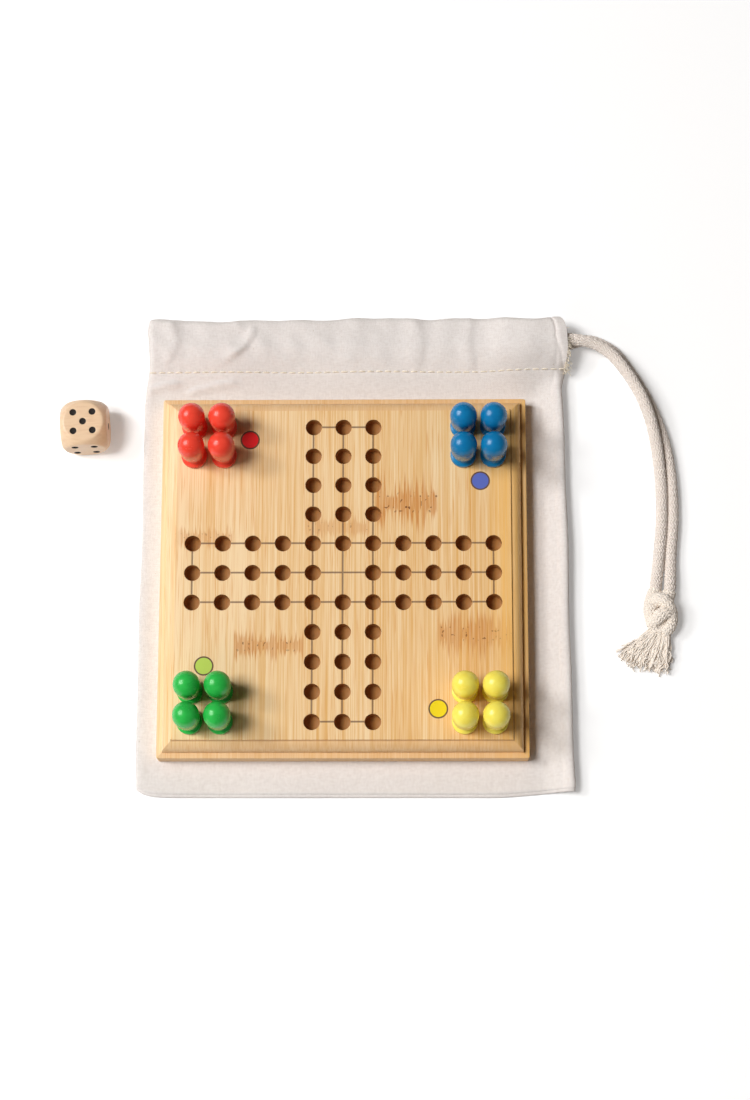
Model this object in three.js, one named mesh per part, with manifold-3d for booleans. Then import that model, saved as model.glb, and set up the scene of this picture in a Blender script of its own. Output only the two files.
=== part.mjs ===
// A travel ludo set: a bamboo peg board, its turned wooden pegs and die, and the cotton drawstring bag under it.
// Millimetres, +Z up. The origin is on the table, under the middle of the board. +X points to the bag's
// drawstring end and +Y to the bag's mouth.
import * as THREE from "three";
import { mergeVertices } from "three/addons/utils/BufferGeometryUtils.js";
import Module from "manifold-3d";

const wasm = await Module();
wasm.setup();

// Pegs: a pin for the hole, a flange that rests on the board, a waist and a ball-topped head.
// Heights are measured from the flange's underside.
const PIN_DIAMETER = 5;
const PIN_LENGTH = 4.2;
const FLANGE_DIAMETER = 8.7;
const FLANGE_HEIGHT = 1.9;
const WAIST_DIAMETER = 6;
const WAIST_BOTTOM = 3.1;
const WAIST_TOP = 3.9;
const HEAD_DIAMETER = 9;
const HEAD_SHOULDER = 6.4;
const HEAD_CENTRE = 14.2;
const PEG_SIDES = 12;
const PEG_CURVE_STEPS = 2;
const PEG_GAP = 1.2;

// Peg holes: a cross of three rows each way, and a square of home holes in each corner.
const PIN_CLEARANCE = 0.25;
const HOLE_SPARE_DEPTH = 0.4;
const DRILL_POINT_HALF_ANGLE = THREE.MathUtils.degToRad(59);
const HOLE_SIDES = 12;
const ARM_HOLES = 5;
const ARM_HALF_ROWS = 1;
const HOME_ROWS = 2;

// Board: a flat top face, an ovolo moulding between two small steps, and a lip above the plain edge.
const HOLE_MARGIN = 6;
const OVOLO_WIDTH = 3.55;
const OVOLO_HEIGHT = 4;
const OVOLO_STEPS = 5;
const MOULDING_STEP = 0.5;
const LIP_WIDTH = 1.95;
const EDGE_HEIGHT = 7;
const CORNER_RADIUS = 1.1;
const CORNER_STEPS = 3;
const STRIP_JOINTS = [-37, -13.2, 9.3, 31.9];

// Die: a cube rounded by a ball, with pips sunk into its six faces.
const DIE_SIZE = 16;
const DIE_FACE_CIRCLE = 13.6;
const DIE_BALL_SIDES = 28;
const DIE_BALL_RINGS = 18;
const PIP_DIAMETER = 2.3;
const PIP_DEPTH = 0.5;
const PIP_OFFSET = 3.3;
const PIP_SIDES = 10;
const PIP_RINGS = 8;
const DIE_TO_BAG = 11.7;
const DIE_FROM_MIDDLE = 52.8;
const DIE_TURN = THREE.MathUtils.degToRad(2.5);

// Bag: two layers of cotton, closed at three sides, with a cord casing along each side of its mouth.
const CLOTH = 0.5;
const POCKET_GAP = 0.3;
const BAG_EASE_LEFT = 7.2;
const BAG_EASE_RIGHT = 15.1;
const BAG_EASE_FRONT = 12;
const BOARD_TO_RISE = 4;
const RISE_TO_STITCHES = 8.4;
const STITCHES_TO_CREST = 6.7;
const CREST_TO_CORD = 2.4;
const CORD_SETBACK = 8.6;
const CASING_PLAY = 0.2;
const CASING_ROUND = 2.5;
const CASING_ROUND_STEPS = 3;
const TUNNEL_SIDES = 12;
// The cord's two runs lie beside each other. Near the casings' end the upper run climbs over the lower casing,
// both come together, and they leave straight, one over the other.
const RUN_SETBACK = 3.4;
const RUN_SPACING = 6.4;
const RUN_CLIMB = 16;
const RUN_GATHER = 15;
const RUN_STRAIGHT = 3;
// The space between the layers passes over the lower run and down under the upper one.
const POCKET_BEFORE_LOWER = 1.6;
const ROOF_BEFORE_LOWER = 2.2;
const POCKET_PAST_LOWER = 1.4;
const POCKET_BEFORE_UPPER = 1.1;

// Drawstring: one cotton cord through both casings, whose two ends are tied in one knot.
// Its points are measured from the casings' end on the table, midway along the cord's setback.
const CORD_DIAMETER = 4.2;
const CORD_SIDES = 8;
const CORD_STEPS = 16;
const TURN_STEPS = 8;
const UPPER_END_ROUTE = [
  [4.5, -0.4, 8.4],
  [8.5, -1.2, 7.9],
  [14.5, -4.6, 7.2],
  [20.3, -11.8, 7],
  [25.2, -20.5, 6.9],
  [28.3, -29.3, 6.3],
  [30.2, -38.5, 4.9],
  [31.4, -50.5, 2.6],
  [31.4, -63.5, 2.2],
  [30.1, -76.9, 2.2],
  [28.9, -86, 3],
  [28.5, -89.3, 3.4],
];
const LOWER_END_ROUTE = [
  [4.8, 0.1, 2.4],
  [8.8, -0.3, 2.2],
  [15.4, -3.7, 2.2],
  [21.8, -10.3, 2.2],
  [27.5, -19.1, 2.2],
  [31.6, -28.2, 2.2],
  [34.5, -37.9, 2.2],
  [36.3, -50.4, 2.2],
  [36.4, -63.5, 2.2],
  [35.1, -76.9, 2.2],
  [33.7, -86, 3],
  [33.2, -89.3, 3.4],
];
// Each oval section of the knot and the frayed tassel: its centre, then its half width and half height.
const KNOT_OVALS = [
  [30.7, -89.9, 4.1, 4.6, 3],
  [30.4, -92.6, 4.6, 5.6, 4.4],
  [29.9, -96.3, 4.8, 5.8, 4.7],
  [29.6, -100, 4.6, 5.3, 4.4],
  [29.1, -102.8, 4, 3.6, 3],
];
const TASSEL_OVALS = [
  [28.9, -103.1, 3.6, 3.5, 2.6],
  [25.4, -107, 2.8, 7, 2.5],
  [24.3, -111.5, 2.1, 8.2, 2],
  [25.2, -116.4, 1.5, 6, 1.4],
];
const OVAL_SIDES = 10;

// Gap that touching pieces keep, on a flat seat and between the lengths of the cord.
const SEAT_GAP = 0.1;
const JOINT_GAP = 0.3;

// Sizes that follow from the ones above.
const HOLE_RADIUS = PIN_DIAMETER / 2 + PIN_CLEARANCE;
const HOLE_DEPTH = PIN_LENGTH + HOLE_SPARE_DEPTH;
const HOLE_PITCH = HEAD_DIAMETER + PEG_GAP;
const TOP_HALF = ARM_HOLES * HOLE_PITCH + HOLE_MARGIN;
const BOARD_HALF = TOP_HALF + OVOLO_WIDTH + LIP_WIDTH;
const BOARD_THICKNESS = EDGE_HEIGHT + OVOLO_HEIGHT + 2 * MOULDING_STEP;
const BAG_THICKNESS = 2 * CLOTH + POCKET_GAP;
const BOARD_BOTTOM = BAG_THICKNESS + SEAT_GAP;
const BAG_LEFT = -BOARD_HALF - BAG_EASE_LEFT;
const BAG_RIGHT = BOARD_HALF + BAG_EASE_RIGHT;
const BAG_FRONT = -BOARD_HALF - BAG_EASE_FRONT;
const RISE_START = BOARD_HALF + BOARD_TO_RISE;
const STITCHES = RISE_START + RISE_TO_STITCHES;
const RISE_END = STITCHES + STITCHES_TO_CREST;
const CORD_Y = RISE_END + CREST_TO_CORD;
const MOUTH = CORD_Y + CORD_SETBACK;
const CORD_RADIUS = CORD_DIAMETER / 2;
const TUNNEL_RADIUS = CORD_RADIUS + CASING_PLAY;
const CASING_HEIGHT = 2 * (CLOTH + TUNNEL_RADIUS);
const LOWER_RUN = CLOTH + TUNNEL_RADIUS;
const FLAT_RUN = 2 * CLOTH + POCKET_GAP + LOWER_RUN;
const UPPER_RUN = CASING_HEIGHT + POCKET_GAP + LOWER_RUN;
const UPPER_Y = MOUTH - RUN_SETBACK;
const LOWER_Y = UPPER_Y - RUN_SPACING;
const STRAIGHT_START = BAG_RIGHT - RUN_STRAIGHT;
const CLIMB_END = STRAIGHT_START - RUN_GATHER;
const CLIMB_START = CLIMB_END - RUN_CLIMB;
const TURN_RADIUS = Math.hypot(UPPER_Y - LOWER_Y, FLAT_RUN - LOWER_RUN) / 2;
const TURN_X = BAG_LEFT + CLOTH + CASING_PLAY + CORD_RADIUS + TURN_RADIUS;

const COLOURS = { red: 0xe03428, blue: 0x0a6eaa, green: 0x239640, yellow: 0xf0dc50 };
const finish = (colour, roughness) => new THREE.MeshStandardMaterial({ color: colour, roughness, metalness: 0 });

function solid(geometry) {
  const bare = new THREE.BufferGeometry();
  bare.setAttribute("position", geometry.getAttribute("position").clone());
  bare.setIndex(geometry.index);
  const merged = mergeVertices(bare);
  const vertProperties = new Float32Array(merged.getAttribute("position").array);
  const triVerts = new Uint32Array(merged.index.array);
  return new wasm.Manifold(new wasm.Mesh({ numProp: 3, vertProperties, triVerts }));
}

function geometryOf(body) {
  const mesh = body.getMesh();
  const geometry = new THREE.BufferGeometry();
  geometry.setAttribute("position", new THREE.BufferAttribute(mesh.vertProperties, 3));
  geometry.setIndex(new THREE.BufferAttribute(mesh.triVerts, 1));
  geometry.computeVertexNormals();
  return geometry;
}

function piece(name, geometry, material) {
  const mesh = new THREE.Mesh(geometry, material);
  mesh.name = name;
  return mesh;
}

// A turned shape whose profile gives radius and height, standing up along Z.
function turned(profile, sides) {
  return new THREE.LatheGeometry(profile, sides).rotateX(Math.PI / 2);
}

// A section in the YZ plane drawn out along X.
function alongX(section, from, to, curveSegments) {
  const geometry = new THREE.ExtrudeGeometry(section, { depth: to - from, bevelEnabled: false, curveSegments });
  const yAxis = new THREE.Vector3(0, 1, 0);
  const zAxis = new THREE.Vector3(0, 0, 1);
  const xAxis = new THREE.Vector3(1, 0, 0);
  return geometry.applyMatrix4(new THREE.Matrix4().makeBasis(yAxis, zAxis, xAxis)).translate(from, 0, 0);
}

function roundSection(radius, sides, y = 0, z = 0) {
  const points = [];
  for (let i = 0; i < sides; i++) {
    const angle = (2 * Math.PI * i) / sides;
    points.push(new THREE.Vector2(y + radius * Math.cos(angle), z + radius * Math.sin(angle)));
  }
  return new THREE.Shape(points);
}

// Bamboo board

function boardBlank() {
  const half = BOARD_HALF;
  const inner = half - CORNER_RADIUS;
  const outline = new THREE.Shape();
  outline.absarc(inner, inner, CORNER_RADIUS, 0, Math.PI / 2);
  outline.absarc(-inner, inner, CORNER_RADIUS, Math.PI / 2, Math.PI);
  outline.absarc(-inner, -inner, CORNER_RADIUS, Math.PI, 1.5 * Math.PI);
  outline.absarc(inner, -inner, CORNER_RADIUS, 1.5 * Math.PI, 2 * Math.PI);
  const slab = new THREE.ExtrudeGeometry(outline, {
    depth: EDGE_HEIGHT,
    bevelEnabled: false,
    curveSegments: CORNER_STEPS,
  });

  // The moulding is mitred at the corners, so it is turned with four sides and its radii reach to the corners.
  const toCorner = Math.SQRT2;
  const ovoloFoot = EDGE_HEIGHT + MOULDING_STEP;
  const profile = [new THREE.Vector2(0, EDGE_HEIGHT - MOULDING_STEP)];
  profile.push(new THREE.Vector2((TOP_HALF + OVOLO_WIDTH) * toCorner, EDGE_HEIGHT - MOULDING_STEP));
  for (let i = 0; i <= OVOLO_STEPS; i++) {
    const angle = (Math.PI / 2) * (i / OVOLO_STEPS);
    const reach = TOP_HALF + OVOLO_WIDTH * Math.cos(angle);
    profile.push(new THREE.Vector2(reach * toCorner, ovoloFoot + OVOLO_HEIGHT * Math.sin(angle)));
  }
  profile.push(new THREE.Vector2(TOP_HALF * toCorner, BOARD_THICKNESS));
  profile.push(new THREE.Vector2(0, BOARD_THICKNESS));
  const moulding = turned(profile, 4).rotateZ(Math.PI / 4);
  return solid(slab).add(solid(moulding));
}

function holeCutter() {
  const tip = HOLE_RADIUS / Math.tan(DRILL_POINT_HALF_ANGLE);
  const profile = [
    new THREE.Vector2(0, -HOLE_DEPTH - tip),
    new THREE.Vector2(HOLE_RADIUS, -HOLE_DEPTH),
    new THREE.Vector2(HOLE_RADIUS, HOLE_SPARE_DEPTH),
    new THREE.Vector2(0, HOLE_SPARE_DEPTH),
  ];
  return solid(turned(profile, HOLE_SIDES));
}

function pathHoles() {
  const places = [];
  for (let row = -ARM_HOLES; row <= ARM_HOLES; row++) {
    for (let column = -ARM_HOLES; column <= ARM_HOLES; column++) {
      const onArm = Math.abs(row) <= ARM_HALF_ROWS || Math.abs(column) <= ARM_HALF_ROWS;
      const atCentre = row === 0 && column === 0;
      if (onArm && !atCentre) places.push([column * HOLE_PITCH, row * HOLE_PITCH]);
    }
  }
  return places;
}

function homeHoles(sideX, sideY) {
  const places = [];
  for (let row = 0; row < HOME_ROWS; row++) {
    for (let column = 0; column < HOME_ROWS; column++) {
      const x = sideX * (ARM_HOLES - column) * HOLE_PITCH;
      const y = sideY * (ARM_HOLES - row) * HOLE_PITCH;
      places.push([x, y]);
    }
  }
  return places;
}

const HOMES = [
  { colour: "red", holes: homeHoles(-1, 1) },
  { colour: "blue", holes: homeHoles(1, 1) },
  { colour: "green", holes: homeHoles(-1, -1) },
  { colour: "yellow", holes: homeHoles(1, -1) },
];

function bambooBoard() {
  const board = new THREE.Group();
  board.position.z = BOARD_BOTTOM;
  const cutter = holeCutter();
  const holes = [...pathHoles(), ...HOMES.flatMap((home) => home.holes)];
  let body = boardBlank();
  for (const [x, y] of holes) body = body.subtract(cutter.translate(x, y, BOARD_THICKNESS));

  // The panel is glued up from upright strips that run from front to back.
  const edges = [-BOARD_HALF, ...STRIP_JOINTS, BOARD_HALF];
  for (let i = 0; i + 1 < edges.length; i++) {
    const width = edges[i + 1] - edges[i];
    const stave = new THREE.BoxGeometry(width, 2 * BOARD_HALF, BOARD_THICKNESS);
    stave.translate(edges[i] + width / 2, 0, BOARD_THICKNESS / 2);
    const strip = body.intersect(solid(stave));
    board.add(piece(`bamboo_strip_${i + 1}`, geometryOf(strip), finish(0xecc891, 0.45)));
  }
  return board;
}

// Pegs

function pegProfile() {
  const path = new THREE.Path();
  path.moveTo(0, -PIN_LENGTH);
  path.lineTo(PIN_DIAMETER / 2, -PIN_LENGTH);
  path.lineTo(PIN_DIAMETER / 2, 0);
  path.lineTo(FLANGE_DIAMETER / 2, 0);
  path.lineTo(FLANGE_DIAMETER / 2, FLANGE_HEIGHT);
  path.lineTo(WAIST_DIAMETER / 2, WAIST_BOTTOM);
  path.lineTo(WAIST_DIAMETER / 2, WAIST_TOP);
  path.quadraticCurveTo(HEAD_DIAMETER / 2, HEAD_SHOULDER, HEAD_DIAMETER / 2, HEAD_CENTRE);
  path.absarc(0, HEAD_CENTRE, HEAD_DIAMETER / 2, 0, Math.PI / 2);
  return path.getPoints(PEG_CURVE_STEPS);
}

function pegs() {
  const group = new THREE.Group();
  group.position.z = BOARD_BOTTOM + BOARD_THICKNESS + SEAT_GAP;
  const geometry = turned(pegProfile(), PEG_SIDES);
  for (const { colour, holes } of HOMES) {
    holes.forEach(([x, y], i) => {
      const peg = piece(`${colour}_peg_${i + 1}`, geometry, finish(COLOURS[colour], 0.3));
      peg.position.set(x, y, 0);
      group.add(peg);
    });
  }
  return group;
}

// Die

function pipPlaces(count) {
  const corners = [[1, 1], [-1, -1], [-1, 1], [1, -1]];
  const places = count % 2 ? [[0, 0]] : [];
  places.push(...corners.slice(0, count > 3 ? 4 : count - (count % 2)));
  if (count === 6) places.push([-1, 0], [1, 0]);
  return places;
}

function die() {
  const half = DIE_SIZE / 2;
  const ballRadius = Math.hypot(half, DIE_FACE_CIRCLE / 2);
  const ball = new THREE.SphereGeometry(ballRadius, DIE_BALL_SIDES, DIE_BALL_RINGS);
  let body = solid(new THREE.BoxGeometry(DIE_SIZE, DIE_SIZE, DIE_SIZE)).intersect(solid(ball));

  // A pip is a shallow dish: the cap of a ball whose rim is as wide as the pip.
  const pipRadius = PIP_DIAMETER / 2;
  const dish = (pipRadius ** 2 + PIP_DEPTH ** 2) / (2 * PIP_DEPTH);
  const faces = [
    { count: 5, turn: [0, 0, 0] },
    { count: 2, turn: [Math.PI, 0, 0] },
    { count: 4, turn: [Math.PI / 2, 0, 0] },
    { count: 3, turn: [-Math.PI / 2, 0, 0] },
    { count: 1, turn: [0, Math.PI / 2, 0] },
    { count: 6, turn: [0, -Math.PI / 2, 0] },
  ];
  for (const { count, turn } of faces) {
    const facing = new THREE.Matrix4().makeRotationFromEuler(new THREE.Euler(...turn));
    for (const [u, v] of pipPlaces(count)) {
      const pip = new THREE.SphereGeometry(dish, PIP_SIDES, PIP_RINGS).rotateX(Math.PI / 2);
      pip.translate(u * PIP_OFFSET, v * PIP_OFFSET, half + dish - PIP_DEPTH);
      body = body.subtract(solid(pip.applyMatrix4(facing)));
    }
  }
  const cube = piece("die", geometryOf(body), finish(0xf0d8b4, 0.45));
  cube.position.set(BAG_LEFT - DIE_TO_BAG - half, DIE_FROM_MIDDLE, half);
  cube.rotation.z = DIE_TURN;
  return cube;
}

// A route that a sweep follows from one chosen point to the next, however far apart they lie.
class StationRoute extends THREE.Curve {
  constructor(points) {
    super();
    this.points = points;
  }

  getPoint(t, target = new THREE.Vector3()) {
    const place = t * (this.points.length - 1);
    const first = Math.min(Math.floor(place), this.points.length - 2);
    return target.lerpVectors(this.points[first], this.points[first + 1], place - first);
  }

  getPointAt(u, target) {
    return this.getPoint(u, target);
  }

  getTangentAt(u, target) {
    return this.getTangent(u, target);
  }
}

function swept(section, points) {
  return new THREE.ExtrudeGeometry(section, { steps: points.length - 1, extrudePath: new StationRoute(points) });
}

// The cord's way in from the casings' end along its upper and its lower run.
function upperRun(end) {
  return [
    new THREE.Vector3(end, CORD_Y, UPPER_RUN),
    new THREE.Vector3(STRAIGHT_START, CORD_Y, UPPER_RUN),
    new THREE.Vector3(CLIMB_END, UPPER_Y, UPPER_RUN),
    new THREE.Vector3(CLIMB_START, UPPER_Y, FLAT_RUN),
    new THREE.Vector3(TURN_X, UPPER_Y, FLAT_RUN),
  ];
}

function lowerRun(end) {
  return [
    new THREE.Vector3(end, CORD_Y, LOWER_RUN),
    new THREE.Vector3(STRAIGHT_START, CORD_Y, LOWER_RUN),
    new THREE.Vector3(CLIMB_END, LOWER_Y, LOWER_RUN),
    new THREE.Vector3(TURN_X, LOWER_Y, LOWER_RUN),
  ];
}

// Cotton bag

// The bag's section where the upper run lies at a given height.
function bagOutline(run) {
  const top = run + LOWER_RUN;
  const outline = new THREE.Shape();
  outline.moveTo(BAG_FRONT, 0);
  outline.lineTo(MOUTH - CASING_ROUND, 0);
  outline.absarc(MOUTH - CASING_ROUND, CASING_ROUND, CASING_ROUND, -Math.PI / 2, 0);
  outline.lineTo(MOUTH, top - CASING_ROUND);
  outline.absarc(MOUTH - CASING_ROUND, top - CASING_ROUND, CASING_ROUND, 0, Math.PI / 2);
  outline.lineTo(RISE_END, top);
  outline.lineTo(RISE_START, BAG_THICKNESS);
  outline.lineTo(BAG_FRONT, BAG_THICKNESS);
  return outline.getPoints(CASING_ROUND_STEPS);
}

// The space between the two layers, which runs out between the casings.
function pocketOutline(run) {
  const crest = run + LOWER_RUN;
  const slope = (crest - BAG_THICKNESS) / (RISE_END - RISE_START);
  const underStitches = BAG_THICKNESS + slope * RISE_TO_STITCHES - CLOTH;
  const overLower = CASING_HEIGHT;
  const underUpper = run - LOWER_RUN - POCKET_GAP;
  const floor = [
    [BAG_FRONT + CLOTH, CLOTH],
    [STITCHES, CLOTH],
    [LOWER_Y - POCKET_BEFORE_LOWER, overLower],
    [LOWER_Y + POCKET_PAST_LOWER, overLower],
    [UPPER_Y - POCKET_BEFORE_UPPER, underUpper],
    [MOUTH + CASING_ROUND, underUpper],
  ];
  const roof = [
    [MOUTH + CASING_ROUND, underUpper + POCKET_GAP],
    [UPPER_Y - POCKET_BEFORE_UPPER, underUpper + POCKET_GAP],
    [LOWER_Y + POCKET_PAST_LOWER, overLower + POCKET_GAP],
    [LOWER_Y - ROOF_BEFORE_LOWER, overLower + POCKET_GAP],
    [STITCHES, underStitches],
    [RISE_START, CLOTH + POCKET_GAP],
    [BAG_FRONT + CLOTH, CLOTH + POCKET_GAP],
  ];
  return [...floor, ...roof].map(([y, z]) => new THREE.Vector2(y, z));
}

// A closed skin through sections in the YZ plane, which all run the same way round and rise in X.
function throughSections(sections) {
  const count = sections[0].points.length;
  const positions = sections.flatMap(({ x, points }) => points.flatMap(({ x: y, y: z }) => [x, y, z]));
  const faces = [];
  for (let ring = 0; ring + 1 < sections.length; ring++) {
    for (let i = 0; i < count; i++) {
      const near = ring * count + i;
      const next = ring * count + ((i + 1) % count);
      faces.push(near, next, next + count, near, next + count, near + count);
    }
  }
  const last = (sections.length - 1) * count;
  const { points } = sections[0];
  for (const [a, b, c] of THREE.ShapeUtils.triangulateShape(points, [])) {
    const leftTurn = THREE.ShapeUtils.area([points[a], points[b], points[c]]) > 0;
    const [p, q] = leftTurn ? [b, c] : [c, b];
    faces.push(a, q, p, last + a, last + p, last + q);
  }
  const geometry = new THREE.BufferGeometry();
  geometry.setAttribute("position", new THREE.Float32BufferAttribute(positions, 3));
  geometry.setIndex(faces);
  return geometry;
}

function alongCasings(outline, from, to) {
  const stations = [
    [from, FLAT_RUN],
    [CLIMB_START, FLAT_RUN],
    [CLIMB_END, UPPER_RUN],
    [to, UPPER_RUN],
  ];
  return solid(throughSections(stations.map(([x, run]) => ({ x, points: outline(run) }))));
}

function cottonBag() {
  const inside = BAG_LEFT + CLOTH;
  let body = alongCasings(bagOutline, BAG_LEFT, BAG_RIGHT);
  body = body.subtract(alongCasings(pocketOutline, inside, BAG_RIGHT - CLOTH));
  const tunnel = roundSection(TUNNEL_RADIUS, TUNNEL_SIDES);
  for (const run of [upperRun(BAG_RIGHT + CLOTH), lowerRun(BAG_RIGHT + CLOTH)]) {
    body = body.subtract(solid(swept(tunnel, run)));
  }

  // At the folded side one casing leads round into the other, so the cord can turn back.
  const ends = [
    [UPPER_Y, FLAT_RUN],
    [LOWER_Y, LOWER_RUN],
  ].map(([y, z]) => solid(alongX(roundSection(TUNNEL_RADIUS, TUNNEL_SIDES, y, z), inside, TURN_X + CORD_RADIUS)));
  body = body.subtract(wasm.Manifold.hull(ends));
  return piece("cotton_bag", geometryOf(body), finish(0xebe2da, 0.95));
}

// Drawstring

function runInCasings() {
  const upper = upperRun(BAG_RIGHT);
  const lower = lowerRun(BAG_RIGHT).reverse();
  const middle = upper.at(-1).clone().add(lower[0]).multiplyScalar(0.5);
  const across = upper.at(-1).clone().sub(lower[0]).multiplyScalar(0.5);
  const turn = [];
  for (let i = 1; i < TURN_STEPS; i++) {
    const angle = Math.PI * (i / TURN_STEPS);
    const point = middle.clone().addScaledVector(across, Math.cos(angle));
    point.x -= TURN_RADIUS * Math.sin(angle);
    turn.push(point);
  }
  return swept(roundSection(CORD_RADIUS, CORD_SIDES), [...upper, ...turn, ...lower]);
}

function freeEnd(height, route) {
  const start = new THREE.Vector3(BAG_RIGHT + JOINT_GAP, CORD_Y, height);
  const points = route.map(([x, y, z]) => new THREE.Vector3(BAG_RIGHT + x, CORD_Y + y, z));
  const line = new THREE.CatmullRomCurve3([start, ...points]);
  return new THREE.ExtrudeGeometry(roundSection(CORD_RADIUS, CORD_SIDES), { steps: CORD_STEPS, extrudePath: line });
}

// A closed skin over oval sections that stand across Y, the first one nearest the bag's mouth.
function throughOvals(ovals) {
  const positions = [];
  const faces = [];
  for (const [x, y, z, halfWidth, halfHeight] of ovals) {
    for (let i = 0; i < OVAL_SIDES; i++) {
      const angle = (2 * Math.PI * i) / OVAL_SIDES;
      const across = BAG_RIGHT + x + halfWidth * Math.cos(angle);
      positions.push(across, CORD_Y + y, z + halfHeight * Math.sin(angle));
    }
  }
  for (let ring = 0; ring + 1 < ovals.length; ring++) {
    for (let i = 0; i < OVAL_SIDES; i++) {
      const near = ring * OVAL_SIDES + i;
      const next = ring * OVAL_SIDES + ((i + 1) % OVAL_SIDES);
      faces.push(near, next, near + OVAL_SIDES, next, next + OVAL_SIDES, near + OVAL_SIDES);
    }
  }
  const last = (ovals.length - 1) * OVAL_SIDES;
  for (let i = 1; i + 1 < OVAL_SIDES; i++) {
    faces.push(0, i + 1, i);
    faces.push(last, last + i, last + i + 1);
  }
  const geometry = new THREE.BufferGeometry();
  geometry.setAttribute("position", new THREE.Float32BufferAttribute(positions, 3));
  geometry.setIndex(faces);
  geometry.computeVertexNormals();
  return geometry;
}

function drawstring() {
  const group = new THREE.Group();
  const cotton = () => finish(0xeee6d7, 0.95);
  group.add(piece("drawstring_in_casing", runInCasings(), cotton()));
  group.add(piece("drawstring_end_1", freeEnd(UPPER_RUN, UPPER_END_ROUTE), cotton()));
  group.add(piece("drawstring_end_2", freeEnd(LOWER_RUN, LOWER_END_ROUTE), cotton()));
  group.add(piece("drawstring_knot", throughOvals(KNOT_OVALS), cotton()));
  group.add(piece("drawstring_tassel", throughOvals(TASSEL_OVALS), cotton()));
  return group;
}

const ludoSet = new THREE.Group();
ludoSet.add(cottonBag(), drawstring(), bambooBoard(), pegs(), die());

export default ludoSet;
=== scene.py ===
"""Looks of a travel ludo set: a bamboo peg board, turned pegs, a wooden die and a cotton drawstring bag.

Sizes are in millimetres and become metres when a mesh is made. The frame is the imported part's: the origin is on
the table under the middle of the board, +X points to the drawstring's side, +Y to the bag's mouth and +Z up.
"""

import logging
import math
from dataclasses import dataclass
from enum import Enum
from typing import Any, Iterable, Sequence

import bmesh
import bpy
import numpy as np
from mathutils import Matrix, Vector


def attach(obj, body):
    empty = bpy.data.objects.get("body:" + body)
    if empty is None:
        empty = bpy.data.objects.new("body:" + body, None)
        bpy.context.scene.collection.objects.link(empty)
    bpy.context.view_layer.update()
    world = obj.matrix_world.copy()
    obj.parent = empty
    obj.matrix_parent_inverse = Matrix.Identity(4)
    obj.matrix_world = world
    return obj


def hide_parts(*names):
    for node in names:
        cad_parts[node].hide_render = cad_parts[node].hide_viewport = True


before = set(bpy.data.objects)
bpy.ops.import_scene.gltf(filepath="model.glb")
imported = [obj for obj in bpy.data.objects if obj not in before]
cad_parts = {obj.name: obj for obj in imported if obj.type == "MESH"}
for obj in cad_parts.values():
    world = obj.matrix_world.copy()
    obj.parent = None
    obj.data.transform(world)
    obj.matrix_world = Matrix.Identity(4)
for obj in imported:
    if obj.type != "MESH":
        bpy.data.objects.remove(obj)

LOG = logging.getLogger("ludo_set")
MM = 0.001

Point = tuple[float, float, float]
Colour = tuple[float, float, float, float]
Pair = tuple[float, float]
Faces = list[tuple[int, ...]]
Array = np.ndarray
Socket = bpy.types.NodeSocket


class Shine(Enum):
    """What a lamp lights."""

    MATT = "matt"
    GLOSS = "gloss"


class Body(Enum):
    """The moving bodies, apart from the pegs."""

    BAG = "bag"
    BOARD = "board"
    DIE = "die"


def display(red: int, green: int, blue: int) -> Colour:
    """Turn a colour as seen on a display into the linear one that a shader takes.

    Args:
        red: Red, from 0 to 255.
        green: Green, from 0 to 255.
        blue: Blue, from 0 to 255.

    Returns:
        The linear colour with full alpha.
    """
    linear = []
    for level in (red / 255, green / 255, blue / 255):
        linear.append(level / 12.92 if level <= 0.04045 else ((level + 0.055) / 1.055) ** 2.4)
    return (linear[0], linear[1], linear[2], 1.0)


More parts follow.
